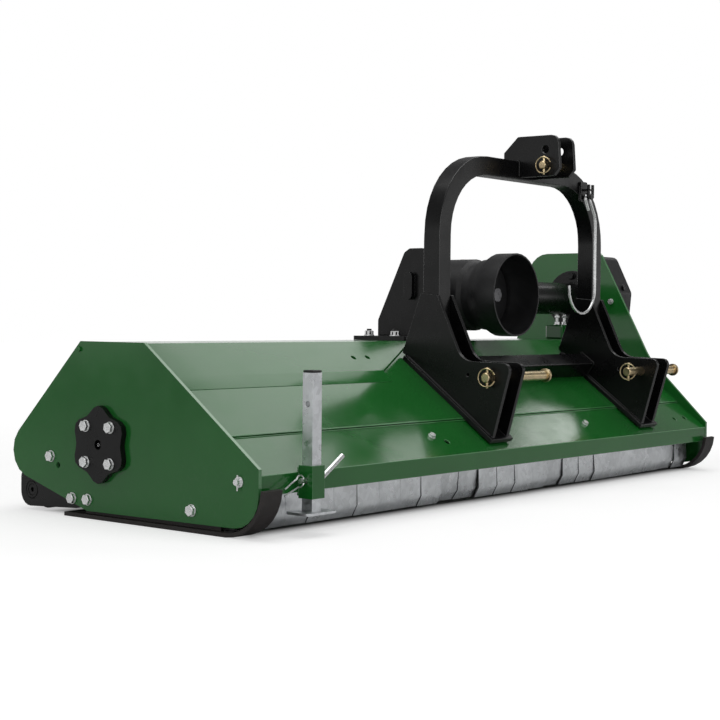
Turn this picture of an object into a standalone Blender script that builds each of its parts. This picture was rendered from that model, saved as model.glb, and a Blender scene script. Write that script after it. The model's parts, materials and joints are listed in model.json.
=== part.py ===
"""Flail mulcher for a tractor's three-point linkage, driven by its PTO shaft.

X runs along the working width, with the drive side at +X. The linkage and the front flaps
are at -Y, the roller is at +Y, and Z is up. The origin is on the ground, below the middle.
"""
import math

import bmesh
import bpy
from mathutils import Euler, Matrix, Vector

# Clearances, and how far welded pieces run into each other
GAP = 0.0003
BOLT_CLEAR = 0.0005
RUN_CLEAR = 0.0005
WELD_BITE = 0.001

# Hood and side plates
WORK_WIDTH = 1.800
PLATE_T = 0.008
SHEET_T = 0.004
DECK_Z = 0.354
DECK_REAR_Y = 0.068
DECK_FRONT_Y = -0.117
LIP_Y = -0.4215
LIP_TOP_Z = 0.130
LIP_BOTTOM_Z = 0.080
PLATE_FOOT_Z = 0.018
PLATE_HEEL_Y = 0.045
PLATE_HEEL_DROP = 0.004
TOE_RADIUS = 0.062
TAIL_Y = 0.330
TAIL_Z = 0.098
TAIL_RADIUS = 0.055
TALL_TOP_Z = 0.600
TALL_FRONT_Y = -0.086
TALL_FRONT_RADIUS = 0.018
TALL_REAR_Y = 0.147
TALL_REAR_RADIUS = 0.065
TALL_BACK_Y = 0.172
TALL_BACK_Z = 0.430
TALL_BACK_RADIUS = 0.080
TALL_HIP_Y = 0.238
TALL_HIP_Z = 0.188
TALL_HIP_RADIUS = 0.040
TALL_KNEE_Y = -0.246
TALL_KNEE_Z = 0.302
TALL_KNEE_RADIUS = 0.160
FACE_SINK = 0.0015
BAND_START = 0.1055
BAND_END = 0.1405
BAND_DROP = 0.005
BAND_EDGE = 0.0006
CREST_GAP = 0.001
STIFFENER_END_X = -0.044
STIFFENER_CUT_X = -0.258
CUT_ROOM = 0.003
LIP_SETBACK = 0.0005
LAP_START = 0.252
LAP_LENGTH = 0.024
DECK_END_Y = 0.0580
BLADE_RUN = 0.066
BLADE_T = 0.012
BLADE_DROP = 0.045

# Fasteners
M12_R = 0.006
M12_HEAD_ACROSS = 0.019
M12_HEAD = 0.0078
M12_WASHER_R = 0.0115
M12_WASHER_T = 0.0022
M12_NUT_REACH = 0.006
M8_R = 0.0045
M8_HEAD_ACROSS = 0.013
M8_HEAD = 0.0065
M8_WASHER_R = 0.009
M8_WASHER_T = 0.002
SKID_BOLT_REAR_Y = 0.043
SKID_BOLT_REAR_Z = 0.037
SKID_BOLT_FRONT_Y = -0.251
SKID_BOLT_FRONT_Z = 0.041
SPARE_HOLE_Y = 0.135
SPARE_HOLE_Z = 0.100

# Skids
SKID_T = 0.008
SKID_WIDTH = 0.050
SKID_STEP = 0.006
SKID_REAR_Y = 0.108
SKID_TOE_Y = -0.441
SKID_TOE_Z = 0.091
SKID_TOE_RADIUS = 0.096
SKID_WEB_T = 0.006
SKID_WEB_Z = 0.062
SKID_WEB_REAR_Y = 0.058
SKID_WEB_FRONT_Y = -0.320
SKID_WEB_RADIUS = 0.012
SKID_BOLT_PROUD = 0.010

# Rotor
ROTOR_Z = 0.150
ROTOR_TUBE_R = 0.0445
ROTOR_END_ROOM = 0.040
SHAFT_R = 0.020
HAMMER_PIVOT_R = 0.068
HAMMER_REACH = 0.058
HAMMER_WIDTH = 0.038
HAMMER_HALF = 0.011
HAMMER_NECK_HALF = 0.006
HAMMER_EDGE_HALF = 0.010
HAMMER_TOP = 0.010
HAMMER_TOP_RADIUS = 0.008
HAMMER_SHOULDER = 0.020
HAMMER_WAIST = 0.030
HAMMER_HEEL = 0.049
HAMMER_TILT = math.radians(8)
HAMMER_BOLT_R = 0.006
HAMMERS_PER_ROW = 7
HAMMER_END_ROOM = 0.038
LUG_T = 0.006
LUG_HALF = 0.013
LUG_ROOT = 0.036
LUG_TIP = 0.011
LUG_PLAY = 0.0015
BOLT_END = 0.012
HOUSING_R = 0.060
HOUSING_T = 0.024
BOLT_PROUD = 0.004
SHAFT_RUN_OUT = 0.006

# Bearing cover
COVER_T = 0.012
COVER_MEAN_R = 0.071
COVER_LOBE = 0.0065
COVER_LOBES = 6
COVER_POINTS = 36
COVER_BOLT_REACH = 0.020
COVER_BOLT_SPACING = 0.072
NIPPLE_HOLE_R = 0.010
NIPPLE_HOLE_DEPTH = 0.010
NIPPLE_R = 0.0045
NIPPLE_TIP_R = 0.0022
NIPPLE_BALL_R = 0.0034
NIPPLE_LENGTH = 0.009

# Flaps
ROD_Y = -0.374
ROD_Z = 0.104
ROD_R = 0.006
ROD_END = 0.011
ROD_WASHER_R = 0.0105
ROD_WASHER_T = 0.0020
COTTER_R = 0.0016
COTTER_LOW = 0.016
COTTER_HIGH = 0.013
COTTER_X = 0.0055
EYE_PLAY = 0.0008
SLIT_TOP = 0.006
FLAP_COUNT = 24
FLAP_GROUPS = 8
FLAP_GAP = 0.0012
FLAP_T = 0.003
FLAP_BOTTOM_Z = 0.011
FLAP_BEND_Z = 0.034
FLAP_BEND_IN = 0.012
FLAP_END_GAP = 0.0015

# Roller
PIVOT_Y = 0.090
PIVOT_Z = 0.036
PIVOT_END_R = 0.020
ROLLER_Y = 0.228
ROLLER_R = 0.042
ROLLER_END_ROOM = 0.040
ROLLER_SHAFT_R = 0.012
BRACKET_T = 0.008
BRACKET_BOSS_T = 0.016
BRACKET_BOSS_R = 0.024
BRACKET_SIDE_GAP = 0.0005
BRACKET_REAR = 0.036
BRACKET_REAR_LOW_Z = 0.006
BRACKET_REAR_TOP_Z = 0.078
BRACKET_BACK_Y = 0.206
BRACKET_BACK_Z = 0.108
BRACKET_TOP_Z = 0.152
BRACKET_TOP_REAR_Y = 0.172
BRACKET_TOP_FRONT_Y = 0.118
BRACKET_END_RADIUS = 0.0185
BRACKET_TOP_RADIUS = 0.018
BRACKET_BACK_RADIUS = 0.030
BRACKET_REAR_RADIUS = 0.020
LOCK_Y = 0.157
LOCK_Z = 0.117
LOCK_SWEEP = math.radians(15)
SLOT_PLAY = 0.001
LOCK_BOLT_PROUD = 0.003
ROLLER_END_GAP = 0.001

# Rear door
DOOR_ROD_Y = 0.070
DOOR_ROD_Z = 0.338
DOOR_ROD_R = 0.005
KNUCKLE_R = 0.009
DOOR_OFFSET = 0.009
DOOR_T = 0.003
DOOR_RUN = 0.262
DOOR_DROP = 0.034
DOOR_SIDE_GAP = 0.0015
DOOR_HEM_RUN = 0.004
DOOR_ROD_END = 0.004

# Three-point linkage
LINK_X = 0.246
LEG_HALF = 0.3415
TUBE = 0.045
ARCH_FRONT_Y = -0.251
ARCH_TOP_Z = 0.792
ARCH_CORNER_R = 0.190
TUBE_EDGE = 0.004
HITCH_T = 0.010
HITCH_APEX_Z = 0.464
HITCH_TOP_Z = 0.310
HITCH_FRONT_Y = -0.455
HITCH_FRONT_RADIUS = 0.016
HITCH_KNEE_Y = -0.322
HITCH_KNEE_RADIUS = 0.045
HITCH_APEX_RADIUS = 0.004
HITCH_HOLE_Y = -0.340
HITCH_HOLE_Z = 0.281
HITCH_HOLE_R = 0.0045
HITCH_SINK = 0.002
HITCH_END_GAP = 0.004
HITCH_REAR_GAP = 0.010
STRIP_T = 0.010
STRIP_REAR_Y = -0.166
STRIP_FRONT_Y = -0.412
STRIP_PROUD = 0.010
BEAM_RUN = 0.133
LOWER_PIN_Y = -0.402
LOWER_PIN_Z = 0.277
LOWER_PIN_R = 0.011
LOWER_PIN_LENGTH = 0.252
LEFT_PIN_START = -0.152
RIGHT_PIN_START = 0.482
PIN_COLLAR = 0.005
PIN_CHAMFER = 0.002
LINCH_R = 0.0032
LINCH_INSET = 0.010
LINCH_END = 0.003
LINCH_WIRE_R = 0.0017
LINCH_LEAN = 0.006
LINCH_POINTS = 24
LOWER_LINCH_R = 0.020
TOP_LINCH_R = 0.019
TOP_GAP = 0.056
TOP_T = 0.010
TOP_PLATE_RISE = 0.059
TOP_PLATE_DROP = 0.040
TOP_PLATE_FRONT_Y = -0.366
TOP_PLATE_CREST_Y = -0.246
TOP_PLATE_BACK_RISE = 0.022
TOP_PLATE_NOSE_DROP = 0.022
TOP_PLATE_CHIN_Y = -0.350
TOP_PLATE_RADIUS = 0.006
TOP_PLATE_BACK_RADIUS = 0.004
TOP_PLATE_NOSE_RADIUS = 0.020
TOP_PIN_Y = -0.329
TOP_PIN_DROP = 0.015
TOP_PIN_R = 0.0095
TOP_PIN_HEAD = 0.022
TOP_PIN_TAIL = 0.008
TOP_HOLE_Y = -0.325
TOP_HOLE_RISE = 0.024

# Gearbox and drive line
DRIVE_Z = 0.467
GEARBOX_R = 0.090
GEARBOX_REAR_Y = 0.085
GEARBOX_FRONT_Y = -0.134
GEARBOX_NECK_END = 0.115
GEARBOX_SIDE = 0.105
GEARBOX_CAP_R = 0.058
GEARBOX_STEP_R = 0.062
GEARBOX_STEP = 0.012
GEARBOX_SHOULDER = 0.020
GEARBOX_NOSE_R = 0.083
GEARBOX_NOSE = 0.022
GEARBOX_NOSE_STEP = 0.032
NECK_R = 0.060
NECK_FLANGE_R = 0.072
NECK_FLANGE_T = 0.012
NECK_CHAMFER = 0.014
COLLAR_R = 0.032
GEAR_ROOM_R = 0.054
GEAR_ROOM_REAR = 0.030
GEAR_ROOM_FRONT = 0.045
PINION_ROOM_R = 0.027
PINION_ROOM_END = 0.082
SPOUT_OFFSET = 0.090
SPOUT_R = 0.014
SPOUT_TOP_Z = 0.552
SPOUT_FOOT = 0.050
PLUG_ACROSS = 0.017
PLUG_HEAD = 0.006
PLUG_FLANGE_R = 0.0105
PLUG_FLANGE_T = 0.003
PLUG_NECK_R = 0.004
DRIVE_SHAFT_R = 0.0175
SHIELD_R = 0.103
SHIELD_FRONT_Y = -0.224
SHIELD_WALL = 0.004
SHIELD_ROOT_R = 0.088
SHIELD_RING_R = 0.090
SHIELD_RING = 0.016
SHIELD_FLARE = 0.040
SHIELD_THROAT_R = 0.036
STUB_FRONT_Y = -0.168
GEAR_R = 0.048
PINION_R = 0.020
PINION_LENGTH = 0.014
TOOTH_ROOT = 0.58
TOOTH_PLAY = 0.0006
GEAR_BACK = 0.032
GEAR_HUB = 0.034
GEAR_CHAMFER = 0.002
PINION_CHAMFER = 0.001
BRIDGE_X = 0.055
BRIDGE_T = 0.012
BRIDGE_BASE_T = 0.010
BRIDGE_TOP_Z = 0.578
BRIDGE_LEFT_X = -0.046
BRIDGE_RIGHT_X = 0.205
BRIDGE_FRONT_Y = -0.100
BRIDGE_REAR_Y = 0.062
BRIDGE_CORNER = 0.008
BRIDGE_KNEE_Z = 0.402
BRIDGE_KNEE_RADIUS = 0.010
BRIDGE_HEAD_FRONT_Y = -0.084
BRIDGE_HEAD_RADIUS = 0.014
BRIDGE_CROWN_Y = -0.034
BRIDGE_SHOULDER_Y = -0.018
BRIDGE_SHOULDER_DROP = 0.010
BRIDGE_SHOULDER_RADIUS = 0.012
BRIDGE_SINK = 0.004
BRIDGE_BOLT_LEFT_X = 0.000
BRIDGE_BOLT_RIGHT_X = 0.170
BRIDGE_BOLT_FRONT_Y = -0.034
BRIDGE_BOLT_REAR_Y = 0.046
BRIDGE_BOLT_HEAD = 0.009
BOSS_FRONT_Y = -0.052
BOSS_REAR_Y = -0.028
BOSS_LOW_Z = 0.452
BOSS_HIGH_Z = 0.520
BOSS_T = 0.014
BOSS_BITE = 0.002
TORQUE_R = 0.045
TORQUE_BORE_R = 0.036
TORQUE_FLANGE_R = 0.082
TORQUE_FLANGE_T = 0.012
DRIVE_PULLEY_R = 0.092
ROTOR_PULLEY_R = 0.0575
PULLEY_OFFSET = 0.014
BELTS = 3
BELT_PITCH = 0.016
BELT_WIDTH = 0.010
GROOVE_WIDTH = 0.0112
GROOVE_DEPTH = 0.010
BELT_PROUD = 0.0015
BELT_FLOOR_GAP = 0.0008
BELT_EDGE = 0.0001
PULLEY_RIM = 0.002
BELT_COVER_DEPTH = 0.086
BELT_COVER_WALL = 0.003
BELT_COVER_RADIUS = 0.020
BELT_COVER_BEND = 0.030
BELT_COVER_RISE = 0.123
BELT_COVER_CROWN_FRONT = 0.085
BELT_COVER_CROWN_REAR = 0.080
BELT_COVER_FRONT = 0.137
BELT_COVER_FRONT_RISE = 0.019
BELT_COVER_THROAT_FRONT = 0.132
BELT_COVER_THROAT_REAR = 0.122
BELT_COVER_THROAT_DROP = 0.037
BELT_COVER_REAR = 0.127
BELT_COVER_REAR_RISE = 0.033
BELT_COVER_HIP = 0.100
BELT_COVER_HIP_DROP = 0.040
BELT_COVER_FOOT = 0.055
BELT_COVER_FOOT_DROP = 0.094
BLOCK_INSET = 0.070
BLOCK_LENGTH = 0.086
BLOCK_DEPTH = 0.060
BLOCK_HEIGHT = 0.039
BLOCK_REAR_GAP = 0.005
BLOCK_EDGE = 0.004
JACK_SPACING = 0.040

# Parking stand
STAND_INSET = 0.119
STAND_TUBE = 0.0254
STAND_WALL = 0.0025
STAND_CLEAR = 0.0006
STAND_TOP_Z = 0.3035
STAND_FOOT_Z = 0.040
SLEEVE_WALL = 0.0042
SLEEVE_BOTTOM_Z = 0.069
SLEEVE_TOP_Z = 0.131
LOCK_PIN_Z = 0.103
LOCK_PIN_R = 0.005
STAND_HOLE_Z = 0.245
STAND_FOOT_T = 0.005
STAND_FOOT_HALF_X = 0.042
STAND_FOOT_HALF_Y = 0.030
STAND_FOOT_RADIUS = 0.008
STAND_CAP_T = 0.0042
STAND_CAP_EDGE = 0.001
LOCK_PIN_HEAD = 0.016
LOCK_PIN_TAIL = 0.006
LOCK_PIN_BEND_X = 0.007
LOCK_PIN_BEND_Z = 0.002
LOCK_PIN_ELBOW_X = 0.012
LOCK_PIN_ELBOW_Z = 0.006
LOCK_PIN_GRIP_X = 0.066
LOCK_PIN_GRIP_Z = 0.040
CLIP_R = 0.011
CLIP_WIRE_R = 0.0016
CLIP_REACH = 0.042
CLIP_WAIST = 0.026
CLIP_WAIST_DROP = 0.003
CLIP_UPPER_DROP = 0.012
CLIP_LOWER_DROP = 0.024

# Hook for the PTO shaft
HOOK_Y = -0.268
HOOK_PEG_INSET = 0.0795
HOOK_PEG_DROP = 0.068
HOOK_PLATE_T = 0.006
HOOK_PLATE_HALF = 0.016
HOOK_PLATE_LOW = 0.012
HOOK_PLATE_HIGH = 0.040
HOOK_PLATE_LOW_RADIUS = 0.004
HOOK_PLATE_HIGH_RADIUS = 0.006
HOOK_PEG_R = 0.0045
HOOK_PEG_REACH = 0.010
HOOK_KNOB_R = 0.0075
HOOK_KNOB_T = 0.003
HOOK_WIRE_R = 0.0035
HOOK_EYE_R = 0.0115
HOOK_END_X = 0.004
HOOK_END_DROP = 0.030
HOOK_NECK_X = 0.022
HOOK_NECK_DROP = 0.022
HOOK_BEND_X = 0.035
HOOK_BEND_DROP = 0.042
HOOK_SHANK_X = 0.0395
HOOK_SHANK_DROP = 0.060
HOOK_BOW_X = -0.023
HOOK_BOW_DROP = 0.237
HOOK_BOW_R = 0.064
HOOK_TIP_RISE = 0.007

HALF_WIDTH = WORK_WIDTH / 2
INNER_X = HALF_WIDTH - PLATE_T
ROTOR_TUBE_END = INNER_X - ROTOR_END_ROOM
ROLLER_END_X = INNER_X - ROLLER_END_ROOM
PULLEY_START = HALF_WIDTH + PULLEY_OFFSET
BLOCK_X = INNER_X - BLOCK_INSET
STAND_X = STAND_INSET - INNER_X
HAMMER_PITCH = (2 * ROTOR_TUBE_END - HAMMER_END_ROOM) / HAMMERS_PER_ROW
SLOPE = math.atan2(DECK_Z - LIP_TOP_Z, DECK_FRONT_Y - LIP_Y)
ROLLER_Z = ROLLER_R
TOP_PIN_Z = ARCH_TOP_Z - TOP_PIN_DROP
LEFT_LEG_X = LINK_X - LEG_HALF
RIGHT_LEG_X = LINK_X + LEG_HALF
HOOK_PEG_X = RIGHT_LEG_X - HOOK_PEG_INSET
HOOK_PEG_Z = ARCH_TOP_Z - HOOK_PEG_DROP
ARCH_REAR_Y = ARCH_FRONT_Y + TUBE
SLOPE_LIFT = -FACE_SINK - BAND_DROP
SKID_INNER_X = HALF_WIDTH + SKID_STEP - SKID_WIDTH
SHAFT_END_X = PULLEY_START + BELTS * BELT_PITCH + SHAFT_RUN_OUT
LIP_SHEET_Y = LIP_Y + FACE_SINK - LIP_SETBACK
PLATE_BOLTS = [(SKID_BOLT_REAR_Y, SKID_BOLT_REAR_Z), (SKID_BOLT_FRONT_Y, SKID_BOLT_FRONT_Z)]
M12_BOLT = (M12_HEAD_ACROSS, M12_HEAD, M12_WASHER_R, M12_WASHER_T, M12_R)
M8_BOLT = (M8_HEAD_ACROSS, M8_HEAD, M8_WASHER_R, M8_WASHER_T, M8_R)

for old in list(bpy.data.objects):
    bpy.data.objects.remove(old, do_unlink=True)

parts = bpy.data.collections.new("tractor_mulcher")
cutters = bpy.data.collections.new("cutters")
bpy.context.scene.collection.children.link(parts)
bpy.context.scene.collection.children.link(cutters)


def material(name, color, roughness, metallic):
    """Return a Principled BSDF material."""
    made = bpy.data.materials.new(name)
    made.use_nodes = True
    shader = made.node_tree.nodes["Principled BSDF"]
    shader.inputs["Base Color"].default_value = (*color, 1.0)
    shader.inputs["Roughness"].default_value = roughness
    shader.inputs["Metallic"].default_value = metallic
    return made


GREEN = material("green_paint", (0.024, 0.120, 0.040), 0.25, 0.0)
BLACK = material("black_paint", (0.010, 0.010, 0.011), 0.38, 0.0)
BROWN = material("skid_primer", (0.020, 0.015, 0.014), 0.55, 0.0)
STEEL = material("bare_steel", (0.36, 0.37, 0.38), 0.40, 1.0)
ZINC = material("galvanised_steel", (0.55, 0.57, 0.60), 0.42, 1.0)
YELLOW_ZINC = material("yellow_zinc", (0.52, 0.42, 0.17), 0.30, 1.0)
CAST = material("cast_iron", (0.018, 0.018, 0.020), 0.60, 0.2)
RUBBER = material("belt_rubber", (0.012, 0.012, 0.012), 0.80, 0.0)
PLASTIC = material("black_plastic", (0.008, 0.008, 0.009), 0.50, 0.0)
RED = material("plug_red", (0.10, 0.012, 0.014), 0.45, 0.0)


def slope_z(y, lift=0.0):
    """Return the height of a plane parallel to the hood's front slope, lift above its edge."""
    return DECK_Z - (DECK_FRONT_Y - y) * math.tan(SLOPE) + lift / math.cos(SLOPE)


def slope_point(run, lift):
    """Return y, z of a point run down the front slope and lift square to it."""
    y = DECK_FRONT_Y - run * math.cos(SLOPE) - lift * math.sin(SLOPE)
    z = DECK_Z - run * math.sin(SLOPE) + lift * math.cos(SLOPE)
    return y, z


def fillet(corners, steps=5):
    """Round the corners of an outline: a corner is (a, b) or (a, b, radius)."""
    outline = []
    count = len(corners)
    for index, corner in enumerate(corners):
        here = Vector(corner[:2])
        radius = corner[2] if len(corner) > 2 else 0.0
        if radius == 0.0:
            outline.append(tuple(here))
            continue
        before = (Vector(corners[index - 1][:2]) - here).normalized()
        after = (Vector(corners[(index + 1) % count][:2]) - here).normalized()
        half = before.angle(after) / 2
        centre = here + (before + after).normalized() * (radius / math.sin(half))
        start = here + before * (radius / math.tan(half)) - centre
        sweep = math.pi - 2 * half
        turn = 1.0 if before.x * after.y - before.y * after.x < 0 else -1.0
        for step in range(steps + 1):
            angle = turn * sweep * step / steps
            spun = Matrix.Rotation(angle, 2) @ start
            outline.append(tuple(centre + spun))
    return outline


def ring(centre, radius, count=16, start=0.0, end=math.tau):
    """Return points on a circle, or on an arc where its end is given."""
    full = abs(end - start - math.tau) < 1e-9
    steps = count if full else count - 1
    angles = [start + (end - start) * index / steps for index in range(count)]
    return [(centre[0] + radius * math.cos(a), centre[1] + radius * math.sin(a)) for a in angles]


def inset(outline, distance):
    """Move every side of an anticlockwise outline inwards by a distance."""
    moved = []
    count = len(outline)
    for index, point in enumerate(outline):
        here = Vector(point)
        into = (here - Vector(outline[index - 1])).normalized()
        out = (Vector(outline[(index + 1) % count]) - here).normalized()
        bisector = (Vector((-into.y, into.x)) + Vector((-out.y, out.x))).normalized()
        moved.append(tuple(here + bisector * distance / bisector.dot(Vector((-into.y, into.x)))))
    return moved


def keep(obj, mat, parent=None):
    """File an object under the part, with its material and parent."""
    for owner in list(obj.users_collection):
        owner.objects.unlink(obj)
    parts.objects.link(obj)
    obj.data.materials.clear()
    obj.data.materials.append(mat)
    if parent is not None:
        obj.parent = parent
        obj.matrix_parent_inverse = parent.matrix_world.inverted()
    return obj


def as_mesh(obj):
    """Return a mesh object of an evaluated object's shape, and remove the first."""
    bpy.context.view_layer.update()
    graph = bpy.context.evaluated_depsgraph_get()
    mesh = bpy.data.meshes.new_from_object(obj.evaluated_get(graph), depsgraph=graph)
    work = bmesh.new()
    work.from_mesh(mesh)
    bmesh.ops.remove_doubles(work, verts=work.verts, dist=0.00001)
    bmesh.ops.transform(work, matrix=obj.matrix_world, verts=work.verts)
    work.to_mesh(mesh)
    work.free()
    name = obj.name
    bpy.data.objects.remove(obj, do_unlink=True)
    mesh.name = name
    made = bpy.data.objects.new(name, mesh)
    parts.objects.link(made)
    return made


TURNS = {
    "X": Euler((math.pi / 2, 0.0, math.pi / 2)),
    "Y": Euler((math.pi / 2, 0.0, 0.0)),
    "Z": Euler((0.0, 0.0, 0.0)),
}


def slab(name, loops, low, high, axis="X"):
    """Extrude a flat outline with its holes from low to high along an axis.

    The loops hold (y, z) for axis X, (x, z) for axis Y and (x, y) for axis Z.
    """
    curve = bpy.data.curves.new(name, "CURVE")
    curve.dimensions = "2D"
    curve.fill_mode = "BOTH"
    curve.extrude = (high - low) / 2
    for loop in loops:
        spline = curve.splines.new("POLY")
        spline.points.add(len(loop) - 1)
        for point, place in zip(spline.points, loop):
            point.co = (place[0], place[1], 0.0, 1.0)
        spline.use_cyclic_u = True
    obj = bpy.data.objects.new(name, curve)
    bpy.context.scene.collection.objects.link(obj)
    middle = (low + high) / 2
    obj.location = {"X": (middle, 0, 0), "Y": (0, middle, 0), "Z": (0, 0, middle)}[axis]
    obj.rotation_euler = TURNS[axis]
    return as_mesh(obj)


def sheet(name, path, low, high, thickness):
    """Fold a sheet along a (y, z) path, from low to high in X; its wall lies to the path's left."""
    mesh = bpy.data.meshes.new(name)
    work = bmesh.new()
    verts = [work.verts.new((low, y, z)) for y, z in path]
    edges = [work.edges.new(pair) for pair in zip(verts, verts[1:])]
    pulled = bmesh.ops.extrude_edge_only(work, edges=edges)["geom"]
    moved = [item for item in pulled if isinstance(item, bmesh.types.BMVert)]
    bmesh.ops.translate(work, verts=moved, vec=(high - low, 0, 0))
    along = Vector(path[1]) - Vector(path[0])
    work.normal_update()
    first = edges[0].link_faces[0]
    if first.normal.dot(Vector((0, -along.y, along.x))) < 0:
        bmesh.ops.reverse_faces(work, faces=work.faces)
    work.to_mesh(mesh)
    work.free()
    obj = bpy.data.objects.new(name, mesh)
    bpy.context.scene.collection.objects.link(obj)
    wall = obj.modifiers.new("wall", "SOLIDIFY")
    wall.thickness = thickness
    wall.offset = 1.0
    wall.use_even_offset = True
    return as_mesh(obj)


def turned(name, profile, axis="Z", origin=(0, 0, 0), count=24, closed=False):
    """Turn a profile of (radius, height) about an axis; it runs down its outer side."""
    mesh = bpy.data.meshes.new(name)
    work = bmesh.new()
    verts = [work.verts.new((radius, 0, height)) for radius, height in profile]
    pairs = list(zip(verts, verts[1:]))
    if closed:
        pairs.append((verts[-1], verts[0]))
    for pair in pairs:
        work.edges.new(pair)
    work.to_mesh(mesh)
    work.free()
    obj = bpy.data.objects.new(name, mesh)
    bpy.context.scene.collection.objects.link(obj)
    screw = obj.modifiers.new("turn", "SCREW")
    screw.steps = count
    screw.render_steps = count
    screw.use_merge_vertices = True
    screw.merge_threshold = 0.00005
    obj.location = origin
    obj.rotation_euler = {"X": (0, math.pi / 2, 0), "Y": (-math.pi / 2, 0, 0), "Z": (0, 0, 0)}[axis]
    return as_mesh(obj)


def rod(name, radius, low, high, axis, origin, count=16):
    """Turn a plain round bar between two heights along an axis."""
    profile = [(0, high), (radius, high), (radius, low), (0, low)]
    return turned(name, profile, axis, origin, count)


def tube(name, radius, bore, low, high, axis, origin, count=24):
    """Turn a round tube between two heights along an axis."""
    profile = [(radius, high), (radius, low), (bore, low), (bore, high)]
    return turned(name, profile, axis, origin, count, closed=True)


def box(name, low, high):
    """Make a box between two corners."""
    bpy.ops.mesh.primitive_cube_add(size=1.0)
    obj = bpy.context.active_object
    obj.name = name
    size = Vector(high) - Vector(low)
    centre = (Vector(high) + Vector(low)) / 2
    obj.data.transform(Matrix.Translation(centre) @ Matrix.Diagonal((*size, 1.0)))
    return obj


def wire(name, points, radius, resolution=2):
    """Make a round wire through the points, with its ends capped."""
    curve = bpy.data.curves.new(name, "CURVE")
    curve.dimensions = "3D"
    curve.bevel_depth = radius
    curve.bevel_resolution = resolution
    curve.use_fill_caps = True
    spline = curve.splines.new("POLY")
    spline.points.add(len(points) - 1)
    for point, place in zip(spline.points, points):
        point.co = (*place, 1.0)
    obj = bpy.data.objects.new(name, curve)
    bpy.context.scene.collection.objects.link(obj)
    return as_mesh(obj)


def combine(target, tools, operation):
    """Apply one exact Boolean with all the tools to a mesh object, and remove the tools."""
    group = bpy.data.collections.new("tools")
    cutters.children.link(group)
    for tool in tools:
        for owner in list(tool.users_collection):
            owner.objects.unlink(tool)
        group.objects.link(tool)
        tool.hide_render = True
        tool.display_type = "WIRE"
    change = target.modifiers.new("combine", "BOOLEAN")
    change.operation = operation
    change.solver = "EXACT"
    change.operand_type = "COLLECTION"
    change.collection = group
    made = as_mesh(target)
    for tool in tools:
        bpy.data.objects.remove(tool, do_unlink=True)
    bpy.data.collections.remove(group)
    return made


def soften(obj, width, segments=1, angle=40.0):
    """Bevel the sharp edges of a mesh object."""
    bevel = obj.modifiers.new("edges", "BEVEL")
    bevel.width = width
    bevel.segments = segments
    bevel.limit_method = "ANGLE"
    bevel.angle_limit = math.radians(angle)
    return obj


def smooth(obj, angle=35.0):
    """Shade a round piece smooth, with its corners kept sharp."""
    obj.data.shade_smooth()
    obj.data.set_sharp_from_angle(angle=math.radians(angle))
    return obj


def pivot(name, place):
    """Add an empty on a joint's axis."""
    empty = bpy.data.objects.new(name, None)
    empty.location = place
    parts.objects.link(empty)
    bpy.context.view_layer.update()
    return empty


def bolt(across, head, washer_r, washer_t, shank_r, shank, place, direction, nut=False):
    """Make a hexagon bolt whose washer seats at a place and whose head points along a direction."""
    start = GAP
    plate = rod("washer", washer_r, start, start + washer_t, "Z", (0, 0, 0), 12)
    profile_r = across / 2 / math.cos(math.pi / 6)
    top = start + washer_t + head
    hexagon = rod("hexagon", profile_r, start + washer_t / 2, top, "Z", (0, 0, 0), 6)
    reach = top + (M12_NUT_REACH if nut else -CREST_GAP)
    stem = rod("stem", shank_r, -shank, reach, "Z", (0, 0, 0), 8)
    made = combine(plate, [hexagon, stem], "UNION")
    turn = Vector((0, 0, 1)).rotation_difference(Vector(direction)).to_matrix().to_4x4()
    made.data.transform(Matrix.Translation(place) @ turn)
    return made


def side_holes(tall):
    """Return the holes of a side plate; the tall plate also lets the drive shaft through."""
    holes = [ring((0, ROTOR_Z), SHAFT_R + RUN_CLEAR)]
    half = COVER_BOLT_SPACING / 2
    small = M12_R + BOLT_CLEAR
    for y, z in bolt_square(half):
        holes.append(ring((y, z), small, 10))
    for y, z in PLATE_BOLTS + [(PIVOT_Y, PIVOT_Z), (SPARE_HOLE_Y, SPARE_HOLE_Z)]:
        holes.append(ring((y, z), small, 10))
    holes.append(ring((ROD_Y, ROD_Z), ROD_R + BOLT_CLEAR, 12))
    holes.append(ring((DOOR_ROD_Y, DOOR_ROD_Z), DOOR_ROD_R + BOLT_CLEAR, 12))
    if tall:
        holes.append(ring((0, DRIVE_Z), DRIVE_SHAFT_R + RUN_CLEAR))
    return holes


def bolt_square(half):
    """Return the four bolt places round the rotor's axis."""
    return [(y * half, ROTOR_Z + z * half) for y in (-1, 1) for z in (-1, 1)]


def build_side_plates():
    """Cut the low plate of the outer end and the tall plate of the drive side."""
    foot = [
        (LIP_Y, LIP_TOP_Z),
        (LIP_Y, PLATE_FOOT_Z, TOE_RADIUS),
        (PLATE_HEEL_Y, PLATE_FOOT_Z - PLATE_HEEL_DROP),
        (TAIL_Y, TAIL_Z, TAIL_RADIUS),
    ]
    low = fillet(foot + [(DECK_REAR_Y, DECK_Z), (DECK_FRONT_Y, DECK_Z)])
    left = slab("side_plate_left", [low] + side_holes(False), -HALF_WIDTH, -INNER_X)
    keep(smooth(combine(left, [lock_bolt(-1)], "UNION")), GREEN)
    top = [
        (TALL_HIP_Y, TALL_HIP_Z, TALL_HIP_RADIUS),
        (TALL_BACK_Y, TALL_BACK_Z, TALL_BACK_RADIUS),
        (TALL_REAR_Y, TALL_TOP_Z, TALL_REAR_RADIUS),
        (TALL_FRONT_Y, TALL_TOP_Z, TALL_FRONT_RADIUS),
        (TALL_KNEE_Y, TALL_KNEE_Z, TALL_KNEE_RADIUS),
    ]
    tall = fillet(foot + top)
    right = slab("side_plate_right", [tall] + side_holes(True), INNER_X, HALF_WIDTH)
    keep(smooth(combine(right, [lock_bolt(1)], "UNION")), GREEN)


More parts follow.
